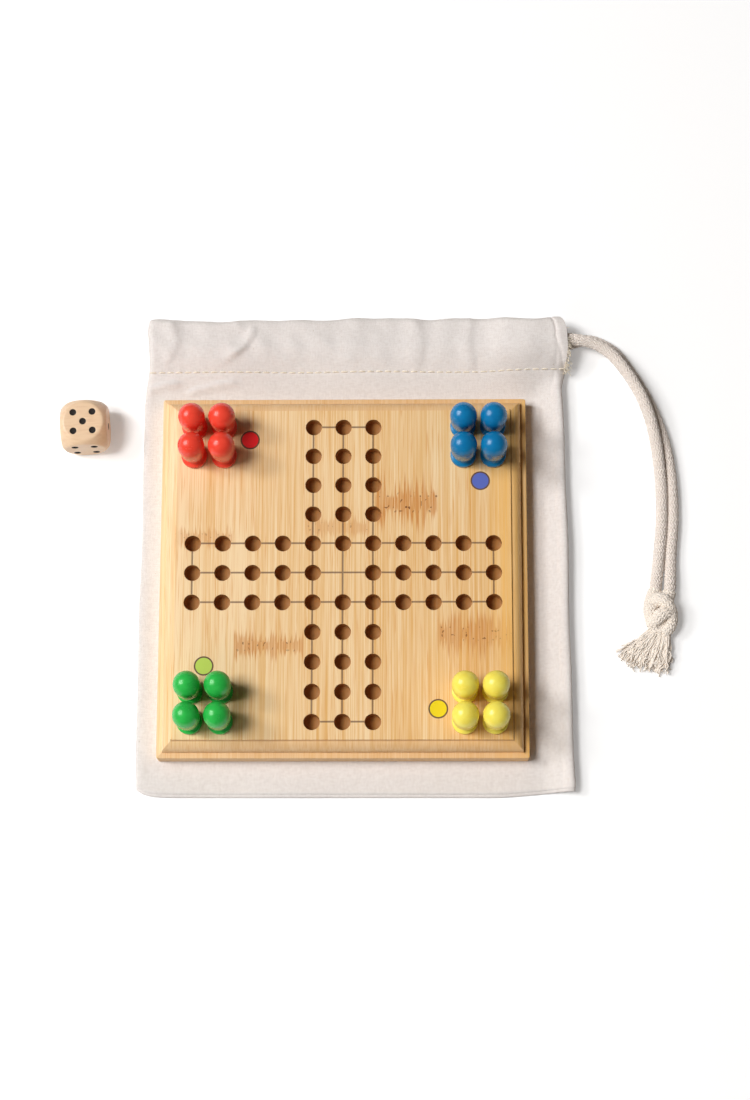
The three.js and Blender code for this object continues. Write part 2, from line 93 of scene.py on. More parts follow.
class Value:
    """A number socket of a node tree that Python's operators work on."""

    def __init__(self, graph: "Graph", socket: Socket) -> None:
        """Keep the tree and the socket."""
        self.graph = graph
        self.socket = socket

    def __add__(self, other: "Value | float") -> "Value":
        """Add a value or number."""
        return self.graph.math("ADD", self, other)

    __radd__ = __add__

    def __sub__(self, other: "Value | float") -> "Value":
        """Take a value or number away."""
        return self.graph.math("SUBTRACT", self, other)

    def __rsub__(self, other: float) -> "Value":
        """Take this value away from a number."""
        return self.graph.math("SUBTRACT", other, self)

    def __mul__(self, other: "Value | float") -> "Value":
        """Multiply by a value or number."""
        return self.graph.math("MULTIPLY", self, other)

    __rmul__ = __mul__

    def __truediv__(self, other: "Value | float") -> "Value":
        """Divide by a value or number."""
        return self.graph.math("DIVIDE", self, other)

    def __abs__(self) -> "Value":
        """Give the size without the sign."""
        return self.graph.math("ABSOLUTE", self)

    def __gt__(self, other: "Value | float") -> "Value":
        """Give 1 where this value is the larger one."""
        return self.graph.math("GREATER_THAN", self, other)

    def __lt__(self, other: "Value | float") -> "Value":
        """Give 1 where this value is the smaller one."""
        return self.graph.math("LESS_THAN", self, other)

    def lower(self, other: "Value | float") -> "Value":
        """Give the smaller of two values."""
        return self.graph.math("MINIMUM", self, other)

    def higher(self, other: "Value | float") -> "Value":
        """Give the larger of two values."""
        return self.graph.math("MAXIMUM", self, other)

    def sine(self) -> "Value":
        """Give the sine of an angle in radians."""
        return self.graph.math("SINE", self)

    def cosine(self) -> "Value":
        """Give the cosine of an angle in radians."""
        return self.graph.math("COSINE", self)

    def root(self) -> "Value":
        """Give the square root."""
        return self.graph.math("SQRT", self)

    def away(self, other: "Value") -> "Value":
        """Give the distance that two distances at a right angle make."""
        return (self * self + other * other).root()

    def between(self, low: float, high: float) -> "Value":
        """Spread 0 to 1 over the numbers from a low to a high one."""
        return low + self * (high - low)

    def near(self, spacing: float) -> "Value":
        """Give the distance to the nearest whole multiple of a spacing."""
        return abs(self.graph.math("FRACT", self / spacing + 0.5) - 0.5) * spacing

    def rise(self, low: float, high: float) -> "Value":
        """Rise smoothly from 0 to 1.

        Args:
            low: The value up to which the result is 0.
            high: The value from which the result is 1.

        Returns:
            The smooth step.
        """
        limits = {"Value": self, "From Min": low, "From Max": high}
        made = self.graph.node("ShaderNodeMapRange", {"interpolation_type": "SMOOTHSTEP"}, limits)
        return Value(self.graph, made.outputs["Result"])

    def within(self, half_width: float, soft: float) -> "Value":
        """Give 1 where the size of this value is under a half width, with a soft edge."""
        return 1 - abs(self).rise(half_width - soft / 2, half_width + soft / 2)


class Graph:
    """A node tree, with one way to add a node and one to add maths."""

    def __init__(self, tree: bpy.types.NodeTree) -> None:
        """Keep the tree."""
        self.tree = tree

    def feed(self, socket: Socket, value: Any) -> None:
        """Link a value or socket to an input, or set it to a plain number, colour or vector.

        Args:
            socket: The input.
            value: What goes into it.
        """
        if isinstance(value, Value):
            self.tree.links.new(value.socket, socket)
        elif isinstance(value, Socket):
            self.tree.links.new(value, socket)
        else:
            socket.default_value = value

    def node(
        self,
        kind: str,
        settings: dict[str, Any] | None = None,
        sockets: dict[str | int, Any] | None = None,
    ) -> bpy.types.Node:
        """Add a node.

        Args:
            kind: The node's type.
            settings: Its properties, set first.
            sockets: The values or links of its inputs, by name or number.

        Returns:
            The node.
        """
        made = self.tree.nodes.new(kind)
        for name, setting in (settings or {}).items():
            setattr(made, name, setting)
        for name, value in (sockets or {}).items():
            self.feed(made.inputs[name], value)
        return made

    def math(self, operation: str, *terms: Value | float) -> Value:
        """Add a Math node."""
        made = self.node("ShaderNodeMath", {"operation": operation}, dict(enumerate(terms)))
        return Value(self, made.outputs[0])

    def vector(self, operation: str, *terms: Any) -> Socket:
        """Add a Vector Math node that gives a vector."""
        made = self.node("ShaderNodeVectorMath", {"operation": operation}, dict(enumerate(terms)))
        return made.outputs[0]

    def scaled(self, vector: Any, amount: Value | float) -> Socket:
        """Multiply a vector by a number."""
        terms = {"Vector": vector, "Scale": amount}
        return self.node("ShaderNodeVectorMath", {"operation": "SCALE"}, terms).outputs[0]

    def joined(self, x: Value | float, y: Value | float, z: Value | float) -> Socket:
        """Join three numbers into a vector."""
        return self.node("ShaderNodeCombineXYZ", None, {0: x, 1: y, 2: z}).outputs[0]

    def parted(self, vector: Any) -> tuple[Value, Value, Value]:
        """Part a vector into its three numbers.

        Args:
            vector: The vector.

        Returns:
            The three numbers.
        """
        made = self.node("ShaderNodeSeparateXYZ", None, {0: vector})
        x, y, z = (Value(self, socket) for socket in made.outputs)
        return x, y, z

    def mixed(self, factor: Value | float, first: Any, second: Any) -> Socket:
        """Mix two colours."""
        made = self.node("ShaderNodeMix", {"data_type": "RGBA"}, {0: factor, 6: first, 7: second})
        return made.outputs[2]


class ShaderGraph(Graph):
    """A material's node tree around one Principled shader."""

    def __init__(self, name: str, constants: dict[str, Any]) -> None:
        """Make the material.

        Args:
            name: The material's name.
            constants: The shader's inputs that are the same all over.
        """
        self.material = bpy.data.materials.new(name)
        self.material.use_nodes = True
        super().__init__(self.material.node_tree)
        self.shader = self.tree.nodes["Principled BSDF"]
        for socket, value in constants.items():
            self.shader.inputs[socket].default_value = value

    def place(self) -> tuple[Value, Value, Value]:
        """Give the place on the piece in millimetres, as X, Y and Z."""
        coordinates = self.node("ShaderNodeTexCoord").outputs["Object"]
        return self.parted(self.scaled(coordinates, 1 / MM))

    def attribute(self, name: str) -> bpy.types.Node:
        """Read one of the mesh's own attributes."""
        return self.node("ShaderNodeAttribute", {"attribute_name": name})

    def noise(self, vector: Any, detail: float) -> Value:
        """Add smooth noise, one feature to a unit of length."""
        made = self.node("ShaderNodeTexNoise", None, {"Vector": vector, "Scale": 1.0, "Detail": detail})
        return Value(self, made.outputs[0])

    def bump(self, height: Value, depth: float, strength: float) -> None:
        """Roughen the surface."""
        sockets = {"Strength": strength, "Distance": depth * MM, "Height": height}
        self.feed(self.shader.inputs["Normal"], self.node("ShaderNodeBump", None, sockets).outputs[0])

    def colour(self, colour: Any) -> None:
        """Feed the base colour."""
        self.feed(self.shader.inputs["Base Color"], colour)

    def roughness(self, value: Value) -> None:
        """Feed the roughness."""
        self.feed(self.shader.inputs["Roughness"], value)


class GeometryTree(Graph):
    """A Geometry Nodes tree with named inputs, which works on a mesh and gives a finished mesh."""

    def __init__(self, name: str, inputs: dict[str, str]) -> None:
        """Make the tree with its input and output.

        Args:
            name: The tree's name.
            inputs: The type of each named input, such as Float or Material.
        """
        super().__init__(bpy.data.node_groups.new(name, "GeometryNodeTree"))
        face = self.tree.interface
        face.new_socket("Geometry", in_out="INPUT", socket_type="NodeSocketGeometry")
        self.identifiers: dict[str, str] = {}
        for label, kind in (inputs | {"Material": "Material"}).items():
            socket = face.new_socket(label, in_out="INPUT", socket_type="NodeSocket" + kind)
            self.identifiers[label] = socket.identifier
        face.new_socket("Geometry", in_out="OUTPUT", socket_type="NodeSocketGeometry")
        self.given = self.node("NodeGroupInput").outputs

    def number(self, name: str) -> Value:
        """Give a named number input."""
        return Value(self, self.given[name])

    def made(self, kind: str, sockets: dict[str | int, Any] | None = None) -> Socket:
        """Add a geometry node and give its first output."""
        return self.node("GeometryNode" + kind, None, sockets).outputs[0]

    def line(self) -> Socket:
        """Give the curves that the mesh's bare edges make."""
        return self.made("MeshToCurve", {0: self.given[0]})

    def finish(self, geometry: Socket) -> None:
        """End the tree with real geometry in its material.

        Args:
            geometry: What the tree has made.
        """
        smooth = self.made("SetShadeSmooth", {0: self.made("RealizeInstances", {0: geometry})})
        clad = self.made("SetMaterial", {"Geometry": smooth, "Material": self.given["Material"]})
        self.node("NodeGroupOutput", None, {0: clad})

    def run(self, name: str, source: bpy.types.Object, values: dict[str, Any]) -> bpy.types.Object:
        """Run the tree on a mesh and keep what it makes as a plain mesh.

        Args:
            name: The new piece's name.
            source: The object whose mesh goes in, which is removed.
            values: The named inputs.

        Returns:
            The new piece.
        """
        modifier = source.modifiers.new(self.tree.name, "NODES")
        modifier.node_group = self.tree
        for label, value in values.items():
            modifier[self.identifiers[label]] = value
        graph = bpy.context.evaluated_depsgraph_get()
        mesh = bpy.data.meshes.new_from_object(source.evaluated_get(graph), depsgraph=graph)
        bpy.data.objects.remove(source)
        mesh.name = name
        return placed(bpy.data.objects.new(name, mesh))


def placed(piece: bpy.types.Object) -> bpy.types.Object:
    """Put an object into the scene.

    Args:
        piece: The object.

    Returns:
        The same object.
    """
    bpy.context.scene.collection.objects.link(piece)
    return piece


def mesh_object(
    name: str,
    points: Array | Sequence[Point],
    faces: Faces,
    edges: Sequence[tuple[int, int]] = (),
) -> bpy.types.Object:
    """Make a mesh object from points in millimetres.

    Args:
        name: The object's name.
        points: Its vertices.
        faces: Its faces.
        edges: Its loose edges.

    Returns:
        The object, in the scene.
    """
    mesh = bpy.data.meshes.new(name)
    mesh.from_pydata((np.asarray(points, float) * MM).tolist(), list(edges), faces)
    mesh.update()
    return placed(bpy.data.objects.new(name, mesh))


def polyline(name: str, lines: Iterable[Array]) -> bpy.types.Object:
    """Make a mesh of bare edges that follow one or more lines.

    Args:
        name: The object's name.
        lines: The points of each line, in millimetres.

    Returns:
        The object, in the scene.
    """
    points: list[Array] = []
    edges: list[tuple[int, int]] = []
    for line in lines:
        first = len(points)
        points.extend(line)
        edges.extend((first + i, first + i + 1) for i in range(len(line) - 1))
    return mesh_object(name, np.array(points), [], edges)


def crisp(piece: bpy.types.Object, degrees: float) -> None:
    """Shade a piece smooth, with sharp edges where its faces meet at more than an angle.

    Args:
        piece: The piece.
        degrees: The angle.
    """
    piece.data.polygons.foreach_set("use_smooth", np.ones(len(piece.data.polygons), bool))
    piece.data.set_sharp_from_angle(angle=math.radians(degrees))


def dressed(
    piece: bpy.types.Object,
    body: str,
    node: str | None,
    material: bpy.types.Material | None = None,
) -> bpy.types.Object:
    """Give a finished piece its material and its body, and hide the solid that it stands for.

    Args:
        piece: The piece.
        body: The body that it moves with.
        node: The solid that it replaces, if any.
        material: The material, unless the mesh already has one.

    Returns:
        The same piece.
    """
    if material is not None:
        piece.data.materials.clear()
        piece.data.materials.append(material)
    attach(piece, body)
    if node is not None:
        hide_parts(node)
    LOG.info("%s: %d faces on %s", piece.name, len(piece.data.polygons), body)
    return piece


def looped(rings: int, around: int) -> Array:
    """Number the vertices of closed rings.

    Args:
        rings: The number of rings.
        around: The number of vertices in each.

    Returns:
        One row to a ring, with its first vertex once more at the end.
    """
    number = np.arange(rings * around).reshape(rings, around)
    return np.column_stack([number, number[:, 0]])


def woven(number: Array) -> Faces:
    """Make the four-sided faces of a grid of vertices.

    Args:
        number: The numbers of the vertices, in rows and columns.

    Returns:
        The faces, whose corners go from column to column first.
    """
    corners = (number[:-1, :-1], number[:-1, 1:], number[1:, 1:], number[1:, :-1])
    return [tuple(face) for face in np.stack(corners, axis=2).reshape(-1, 4).tolist()]


def turned(profile: Array, sides: int) -> tuple[Array, Faces]:
    """Turn a profile about Z.

    Args:
        profile: Radius and height of each point, from a foot on the axis to a top on the axis.
        sides: The number of sides.

    Returns:
        The points and the faces, which face outwards.
    """
    rings = profile[1:-1]
    angles = np.linspace(0, 2 * math.pi, sides, endpoint=False)
    across = np.outer(rings[:, 0], np.cos(angles)).ravel()
    along = np.outer(rings[:, 0], np.sin(angles)).ravel()
    up = np.repeat(rings[:, 1], sides)
    foot, top = len(up), len(up) + 1
    ends = np.array([[0, 0, profile[0, 1]], [0, 0, profile[-1, 1]]])
    points = np.vstack([np.column_stack([across, along, up]), ends])
    number = looped(len(rings), sides)
    low, high = number[0].tolist(), number[-1].tolist()
    faces = woven(number)
    faces += [(foot, after, side) for side, after in zip(low, low[1:])]
    faces += [(side, after, top) for side, after in zip(high, high[1:])]
    return points, faces


def arc(centre: Pair, radii: Pair, start: float, end: float, steps: int) -> Array:
    """Give points on an arc.

    Args:
        centre: Its centre.
        radii: Its two half axes.
        start: The first angle, in degrees.
        end: The last angle, in degrees.
        steps: The number of steps.

    Returns:
        The points.
    """
    angles = np.radians(np.linspace(start, end, steps + 1))
    return np.column_stack([centre[0] + radii[0] * np.cos(angles), centre[1] + radii[1] * np.sin(angles)])


def smooth_path(points: Sequence[Sequence[float]], spacing: float) -> Array:
    """Run one smooth curve through chosen points.

    Args:
        points: The chosen points, in millimetres.
        spacing: The distance between the points of the result.

    Returns:
        Points along the curve, about evenly spaced.
    """
    samples = 40
    given = np.asarray(points, float)
    ends = [2 * given[0] - given[1], 2 * given[-1] - given[-2]]
    knots = np.vstack([ends[0], given, ends[1]])
    fine = []
    for a, b, c, d in zip(knots, knots[1:], knots[2:], knots[3:]):
        t0, t1 = 0.0, math.sqrt(np.linalg.norm(b - a))
        t2 = t1 + math.sqrt(np.linalg.norm(c - b))
        t3 = t2 + math.sqrt(np.linalg.norm(d - c))
        t = np.linspace(t1, t2, samples, endpoint=False)[:, None]
        ab = a * (t1 - t) / (t1 - t0) + b * (t - t0) / (t1 - t0)
        bc = b * (t2 - t) / (t2 - t1) + c * (t - t1) / (t2 - t1)
        cd = c * (t3 - t) / (t3 - t2) + d * (t - t2) / (t3 - t2)
        abc = ab * (t2 - t) / (t2 - t0) + bc * (t - t0) / (t2 - t0)
        bcd = bc * (t3 - t) / (t3 - t1) + cd * (t - t1) / (t3 - t1)
        fine.append(abc * (t2 - t) / (t2 - t1) + bcd * (t - t1) / (t2 - t1))
    curve = np.vstack([*fine, given[-1:]])
    length = np.concatenate([[0], np.cumsum(np.linalg.norm(np.diff(curve, axis=0), axis=1))])
    wanted = np.linspace(0, length[-1], max(2, round(length[-1] / spacing)) + 1)
    return np.column_stack([np.interp(wanted, length, curve[:, i]) for i in range(3)])


def step(value: Array, low: float, high: float) -> Array:
    """Rise smoothly from 0 at the low value to 1 at the high one.

    Args:
        value: The values.
        low: Where the rise starts.
        high: Where it ends.

    Returns:
        The smooth step.
    """
    t = np.clip((value - low) / (high - low), 0, 1)
    return t * t * (3 - 2 * t)


def bell(value: Array, middle: float, width: float | Array) -> Array:
    """Give a bell curve, 1 at its middle.

    Args:
        value: The values.
        middle: Where the curve is highest.
        width: How far off it has fallen to about a third.

    Returns:
        The curve's heights.
    """
    return np.exp(-(((value - middle) / width) ** 2))


def rippled(value: Array, ripples: Sequence[Point]) -> Array:
    """Add up sine waves.

    Args:
        value: The values.
        ripples: Each wave's height, its length over a turn of one radian, and its phase.

    Returns:
        The sum.
    """
    return sum(height * np.sin(value / length + phase) for height, length, phase in ripples)


def bow(start: Sequence[float], middle: Sequence[float], end: Sequence[float], shares: Array) -> Array:
    """Give points on a curve that leaves its start towards a middle point and comes to its end from there.

    Args:
        start: The curve's start.
        middle: The point that it bends towards.
        end: The curve's end.
        shares: How far along each point is, from 0 to 1.

    Returns:
        The points.
    """
    t = shares[:, None]
    return np.array(start) * (1 - t) ** 2 + np.array(middle) * 2 * t * (1 - t) + np.array(end) * t * t


@dataclass(frozen=True)
class Streaks:
    """Smooth noise that is stretched along the axes."""

    across: float
    along: float
    up: float = 1.0
    detail: float = 1.0

    def on(self, graph: ShaderGraph, x: Value, y: Value, z: Value | float) -> Value:
        """Add the noise to a material, over the piece or, for a plain number as height, in a flat layer."""
        return graph.noise(graph.joined(x / self.across, y / self.along, z / self.up), self.detail)


@dataclass(frozen=True)
class BambooFinish:
    """Pale lacquered bamboo with fibres along Y, and the game's lines and dots printed on it."""

    pale: Colour = display(252, 221, 175)
    warm: Colour = display(231, 178, 105)
    fibre: Colour = display(224, 158, 82)
    knuckle: Colour = display(208, 134, 60)
    # Painted shade for the moulding's small steps at the front and the right, and for the right lip beside its foot.
    quirk_shade: Colour = display(150, 102, 60)
    scar: Colour = display(116, 64, 26)
    # Painted shade: the hole walls take this darker brown, which stands in for part of the shade in the holes.
    bored: Colour = display(170, 112, 56)
    # Painted warm bounce light: an orange tint over the board's right part, whose moulding lies in shade.
    edge: Colour = display(255, 199, 113)
    end_grain: Colour = display(230, 185, 135)
    ink: Colour = display(104, 78, 62)
    roughness: Pair = (0.42, 0.58)
    fibre_depth: float = 0.05
    ink_depth: float = 0.05
    rim_depth: float = 0.1
    hole_shade_share: float = 0.88
    end_grain_share: float = 0.55
    ink_share: float = 0.78
    scar_share: float = 0.85
    quirk_shade_shares: Pair = (0.5, 0.4)
    # Where the painted warm bounce tint starts across the board, and how strong it is.
    bounce_tint_start: Pair = (47.0, 56.0)
    bounce_tint_share: float = 1.1
    joints: tuple[float, ...] = (-37.0, -13.2, 9.3, 31.9)
    strip_shift: float = 37.3
    strip_tone: Pair = (0.76, -0.085)
    grains: tuple[tuple[Streaks, float], ...] = (
        (Streaks(0.42, 45.0, 2.5), 1.6),
        (Streaks(1.3, 60.0, 5.0, 2.0), 1.05),
        (Streaks(7.0, 150.0, 12.0), 0.8),
    )
    vessels: Streaks = Streaks(0.28, 13.0, 2.0, 0.0)
    vessel_range: Pair = (0.62, 0.78)
    vessel_share: float = 0.55
    patch_fibres: Streaks = Streaks(0.42, 22.0)
    patch_reach: Streaks = Streaks(0.7, 60.0)
    patch_dots: Streaks = Streaks(1.0, 1.3, detail=0.0)
    patch_layers: Point = (4.0, 7.0, 9.0)
    patch_tone: Pair = (0.25, 0.9)
    knuckles: tuple[tuple[float, float, float, float, float], ...] = (
        (11.0, 31.9, 19.4, 31.7, 1.0),
        (-57.0, -37.0, 10.0, 15.5, 0.55),
        (-36.7, -13.2, -27.7, -21.3, 0.85),
        (31.9, 57.0, -25.0, -15.0, 0.8),
        (-12.6, 9.2, 13.5, 18.8, 0.5),
    )
    print_shift: Pair = (-0.12, 0.07)
    print_blur: float = 0.2
    line_width: float = 0.6
    dot_radius: float = 3.35
    dot_outline: float = 0.5
    dot_blur: float = 0.1
    dots: tuple[tuple[float, float, Colour], ...] = (
        (-32.0, 46.6, display(240, 42, 46)),
        (46.6, 32.0, display(94, 110, 192)),
        (32.0, -46.6, display(240, 216, 30)),
        (-46.6, -32.0, display(190, 215, 92)),
    )

    def material(self, board: "BambooBoard") -> bpy.types.Material:
        """Make the material.

        Args:
            board: The board that it goes on.

        Returns:
            The material.
        """
        graph = ShaderGraph("lacquered bamboo", {"Specular IOR Level": 0.35})
        x, y, z = graph.place()
        down = board.top - z
        wood, fine = self.grain(graph, x, y, z)
        wood = self.knuckled(graph, wood, x, y)
        # Painted warm bounce light on the board's right part and its shaded moulding.
        wood = graph.mixed(x.rise(*self.bounce_tint_start) * (self.bounce_tint_share - fine), wood, self.edge)
        # Painted shade in the holes: their walls are darkened.
        wood = graph.mixed(self.drilled(x, y, down, board) * self.hole_shade_share, wood, self.bored)
        sawn = (abs(y) > abs(x)) * (abs(y) > board.top_half) * (down > self.rim_depth)
        wood = graph.mixed(sawn * self.end_grain_share, wood, self.end_grain)
        # Painted shade on the moulding's steps at the front and the right, and on the right lip.
        wood = graph.mixed(self.painted_quirk_shade(x, y, down, board), wood, self.quirk_shade)
        wood = self.printed(graph, wood, (x, y, down), board)
        graph.colour(wood)
        graph.roughness(fine.between(*self.roughness))
        graph.bump(fine, self.fibre_depth, 0.5)
        return graph.material

    def grain(self, graph: ShaderGraph, x: Value, y: Value, z: Value) -> tuple[Any, Value]:
        """Draw the fibres, which run along Y, differ from strip to strip and show as specks on the ends.

        Args:
            graph: The material's tree.
            x: Place across the fibres.
            y: Place along the fibres.
            z: Height.

        Returns:
            The wood's colour and its finest streaks.
        """
        strip: Value | float = 0.0
        for joint in self.joints:
            strip = (x > joint) + strip
        across = x + strip * self.strip_shift
        share = self.strip_tone[0] + strip * self.strip_tone[1]
        noises = [streaks.on(graph, across, y, z) for streaks, _ in self.grains]
        for noise, (_, weight) in zip(noises, self.grains):
            share = share + (noise - 0.5) * weight
        wood = graph.mixed(share.higher(0.0).lower(1.0), self.warm, self.pale)
        vessels = self.vessels.on(graph, across, y, z).rise(*self.vessel_range)
        return graph.mixed(vessels * self.vessel_share, wood, self.fibre), noises[0]

    def knuckled(self, graph: ShaderGraph, wood: Any, x: Value, y: Value) -> Any:
        """Darken the patches where the bamboo's joints were.

        Args:
            graph: The material's tree.
            wood: The wood's colour.
            x: Place across the fibres.
            y: Place along the fibres.

        Returns:
            The colour with the patches.
        """
        blur, core_half, core_blur = 0.3, 0.26, 2.0
        fibre_layer, reach_layer, dot_layer = self.patch_layers
        fibres = self.patch_fibres.on(graph, x, y, fibre_layer).rise(0.36, 0.6)
        reach = self.patch_reach.on(graph, x, y, reach_layer).rise(0.3, 0.72).between(0.4, 1.9)
        patch: Value | float = 0.0
        core: Value | float = 0.0
        for left, right, front, back, strength in self.knuckles:
            length = back - front
            across = x.rise(left - blur, left + blur) * (1 - x.rise(right - blur, right + blur))
            off = y - (front * 0.6 + back * 0.4)
            along = 1 - (abs(off) / (reach * (0.5 * length))).rise(0.55, 1.15)
            patch = (across * along * strength).higher(patch)
            core = (across * off.within(core_half * length, core_blur) * strength).higher(core)
        dots = self.patch_dots.on(graph, x, y, dot_layer).rise(0.7, 0.75)
        wood = graph.mixed(patch * fibres.between(*self.patch_tone), wood, self.knuckle)
        return graph.mixed(core * dots * self.scar_share, wood, self.scar)

    def drilled(self, x: Value, y: Value, down: Value, board: "BambooBoard") -> Value:
        """Find the walls of the holes, where shade is painted.

        Args:
            x: Place across the board.
            y: Place along the board.
            down: Depth under the top face.
            board: The board.

        Returns:
            A mask of the walls.
        """
        around, mouth, rim = 0.3, 0.25, board.top_half - 2
        hole = x.near(board.pitch).away(y.near(board.pitch)) < board.hole_radius + around
        return hole * (down > mouth) * (abs(x) < rim) * (abs(y) < rim)

    def painted_quirk_shade(self, x: Value, y: Value, down: Value, board: "BambooBoard") -> Value:
        """Find where shade is painted on the moulding: its small steps at the front and the right, and the right lip
        beside its foot.

        Args:
            x: Place across the board.
            y: Place along the board.
            down: Depth under the top face.
            board: The board.

        Returns:
            How much painted shade each place gets.
        """
        slack, rim, foot = 0.03, board.top_half, board.foot
        upper = (down > self.rim_depth) * (down < board.moulding_step + slack) * (x.higher(y * -1) > rim - 0.3)
        step_below = (down > board.moulding_step + board.ovolo[1] - slack) * (x > foot - 0.05) * (x > abs(y))
        lower = step_below * (1 - x.rise(foot + 0.45, foot + 0.9))
        return (upper * self.quirk_shade_shares[0]).higher(lower * self.quirk_shade_shares[1])

    def printed(self, graph: ShaderGraph, wood: Any, place: tuple[Value, Value, Value], board: "BambooBoard") -> Any:
        """Print the lines that join the holes, and the four dots.

        Args:
            graph: The material's tree.
            wood: The wood's colour.
            place: Place across and along the board, and depth under its top face.
            board: The board.

        Returns:
            The colour with the print.
        """
        x, y, down = place
        face = down < self.ink_depth
        half, blur, pitch, reach = self.line_width / 2, self.print_blur, board.pitch, board.arm * board.pitch
        side, along = abs(x - self.print_shift[0]), abs(y - self.print_shift[1])
        lines: Value | float = 0.0
        for first, second in ((side, along), (along, side)):
            rows = first.within(half, blur).higher((first - pitch).within(half, blur))
            ends = (second - reach).within(half, blur) * first.within(pitch, blur)
            lines = (rows * second.within(reach, blur)).higher(ends).higher(lines)
        wood = graph.mixed(lines * face * self.ink_share, wood, self.ink)
        for dot_x, dot_y, colour in self.dots:
            off = (x - dot_x).away(y - dot_y)
            for radius, paint in ((self.dot_radius, self.ink), (self.dot_radius - self.dot_outline, colour)):
                wood = graph.mixed((1 - off.rise(radius - self.dot_blur, radius)) * face, wood, paint)
        return wood


@dataclass(frozen=True)
class PaintFinish:
    """Glossy paint on turned wood."""

    name: str
    colour: Colour
    deep: Colour
    coats: Streaks = Streaks(3.1, 3.1, 2.2, 2.0)
    ripples: Streaks = Streaks(1.6, 1.6, 1.1)
    ripple_depth: float = 0.03
    deep_share: float = 0.35
    roughness: Pair = (0.22, 0.3)
    coat: Pair = (0.02, 0.12)

    def material(self) -> bpy.types.Material:
        """Make the material.

        Returns:
            The material.
        """
        graph = ShaderGraph(self.name + " paint", {"Specular IOR Level": 0.45, "Coat Roughness": 0.24})
        x, y, z = graph.place()
        thick = self.coats.on(graph, x, y, z)
        graph.colour(graph.mixed(thick.rise(0.35, 0.75) * self.deep_share, self.colour, self.deep))
        graph.roughness(thick.between(*self.roughness))
        graph.feed(graph.shader.inputs["Coat Weight"], thick.between(*self.coat))
        graph.bump(self.ripples.on(graph, x, y, z), self.ripple_depth, 0.3)
        return graph.material


@dataclass(frozen=True)
class DieFinish:
    """Pale polished wood with black pips."""

    wood: Colour = display(243, 210, 174)
    grain: Colour = display(231, 193, 154)
    pip: Colour = display(42, 38, 36)
    streaks: Streaks = Streaks(5.0, 0.9, 0.9, 2.0)
    grain_share: float = 0.6
    roughness: Pair = (0.24, 0.4)
    pip_roughness: float = 0.5
    distance: str = "pip_distance"
    own_place: str = "die_place"

    def material(self, pip_radius: float) -> bpy.types.Material:
        """Make the material.

        Args:
            pip_radius: The radius of a pip.

        Returns:
            The material.
        """
        graph = ShaderGraph("pale die wood", {"Specular IOR Level": 0.4})
        streaks = self.streaks.on(graph, *graph.parted(graph.attribute(self.own_place).outputs["Vector"]))
        wood = graph.mixed(streaks.rise(0.4, 0.72) * self.grain_share, self.wood, self.grain)
        off = Value(graph, graph.attribute(self.distance).outputs["Fac"])
        pip = 1 - off.rise(pip_radius - 0.1, pip_radius + 0.02)
        graph.colour(graph.mixed(pip, wood, self.pip))
        graph.roughness(streaks.between(*self.roughness) + pip * self.pip_roughness)
        return graph.material


@dataclass(frozen=True)
class ClothFinish:
    """Plain woven natural cotton with a few flecks of husk."""

    thread: Colour = display(241, 235, 231)
    hollow: Colour = display(225, 217, 212)
    fleck: Colour = display(196, 176, 154)
    spacing: float = 0.56
    slub_length: float = 1.7
    slub_width: float = 0.42
    weave_depth: float = 0.14
    roughness: Pair = (0.86, 0.98)
    flecks: Streaks = Streaks(0.7, 0.7, detail=0.0)
    fleck_layer: float = 21.0
    fleck_share: float = 0.5

    def material(self) -> bpy.types.Material:
        """Make the material.

        Returns:
            The material.
        """
        graph = ShaderGraph("natural cotton cloth", {"Specular IOR Level": 0.15, "Sheen Weight": 0.1})
        x, y, z = graph.place()
        slubs_x = Streaks(self.slub_length, self.slub_width).on(graph, x, y, z)
        slubs_y = Streaks(self.slub_width, self.slub_length).on(graph, x, y, z)
        turn = 2 * math.pi / self.spacing
        weave = (x * turn).sine() * (y * turn).sine() * 0.25 + 0.5
        raised = weave * 0.5 + slubs_x * 0.3 + slubs_y * 0.3
        cloth = graph.mixed(raised.rise(0.38, 0.68), self.hollow, self.thread)
        flecks = self.flecks.on(graph, x, y, self.fleck_layer).rise(0.8, 0.88)
        graph.colour(graph.mixed(flecks * self.fleck_share, cloth, self.fleck))
        graph.roughness(slubs_x.between(*self.roughness))
        graph.bump(raised, self.weave_depth, 0.45)
        return graph.material


@dataclass(frozen=True)
class YarnFinish:
    """Soft cotton yarn of one colour."""

    name: str
    light: Colour
    dark: Colour
    fuzz: Streaks = Streaks(0.3, 0.3, 0.3, 2.0)
    fuzz_depth: float = 0.1
    roughness: Pair = (0.85, 0.99)

    def material(self) -> bpy.types.Material:
        """Make the material.

        Returns:
            The material.
        """
        graph = ShaderGraph(self.name, {"Specular IOR Level": 0.12, "Sheen Weight": 0.15})
        fuzz = self.fuzz.on(graph, *graph.place())
        graph.colour(graph.mixed(fuzz.rise(0.38, 0.66), self.dark, self.light))
        graph.roughness(fuzz.between(*self.roughness))
        graph.bump(fuzz, self.fuzz_depth, 0.5)
        return graph.material


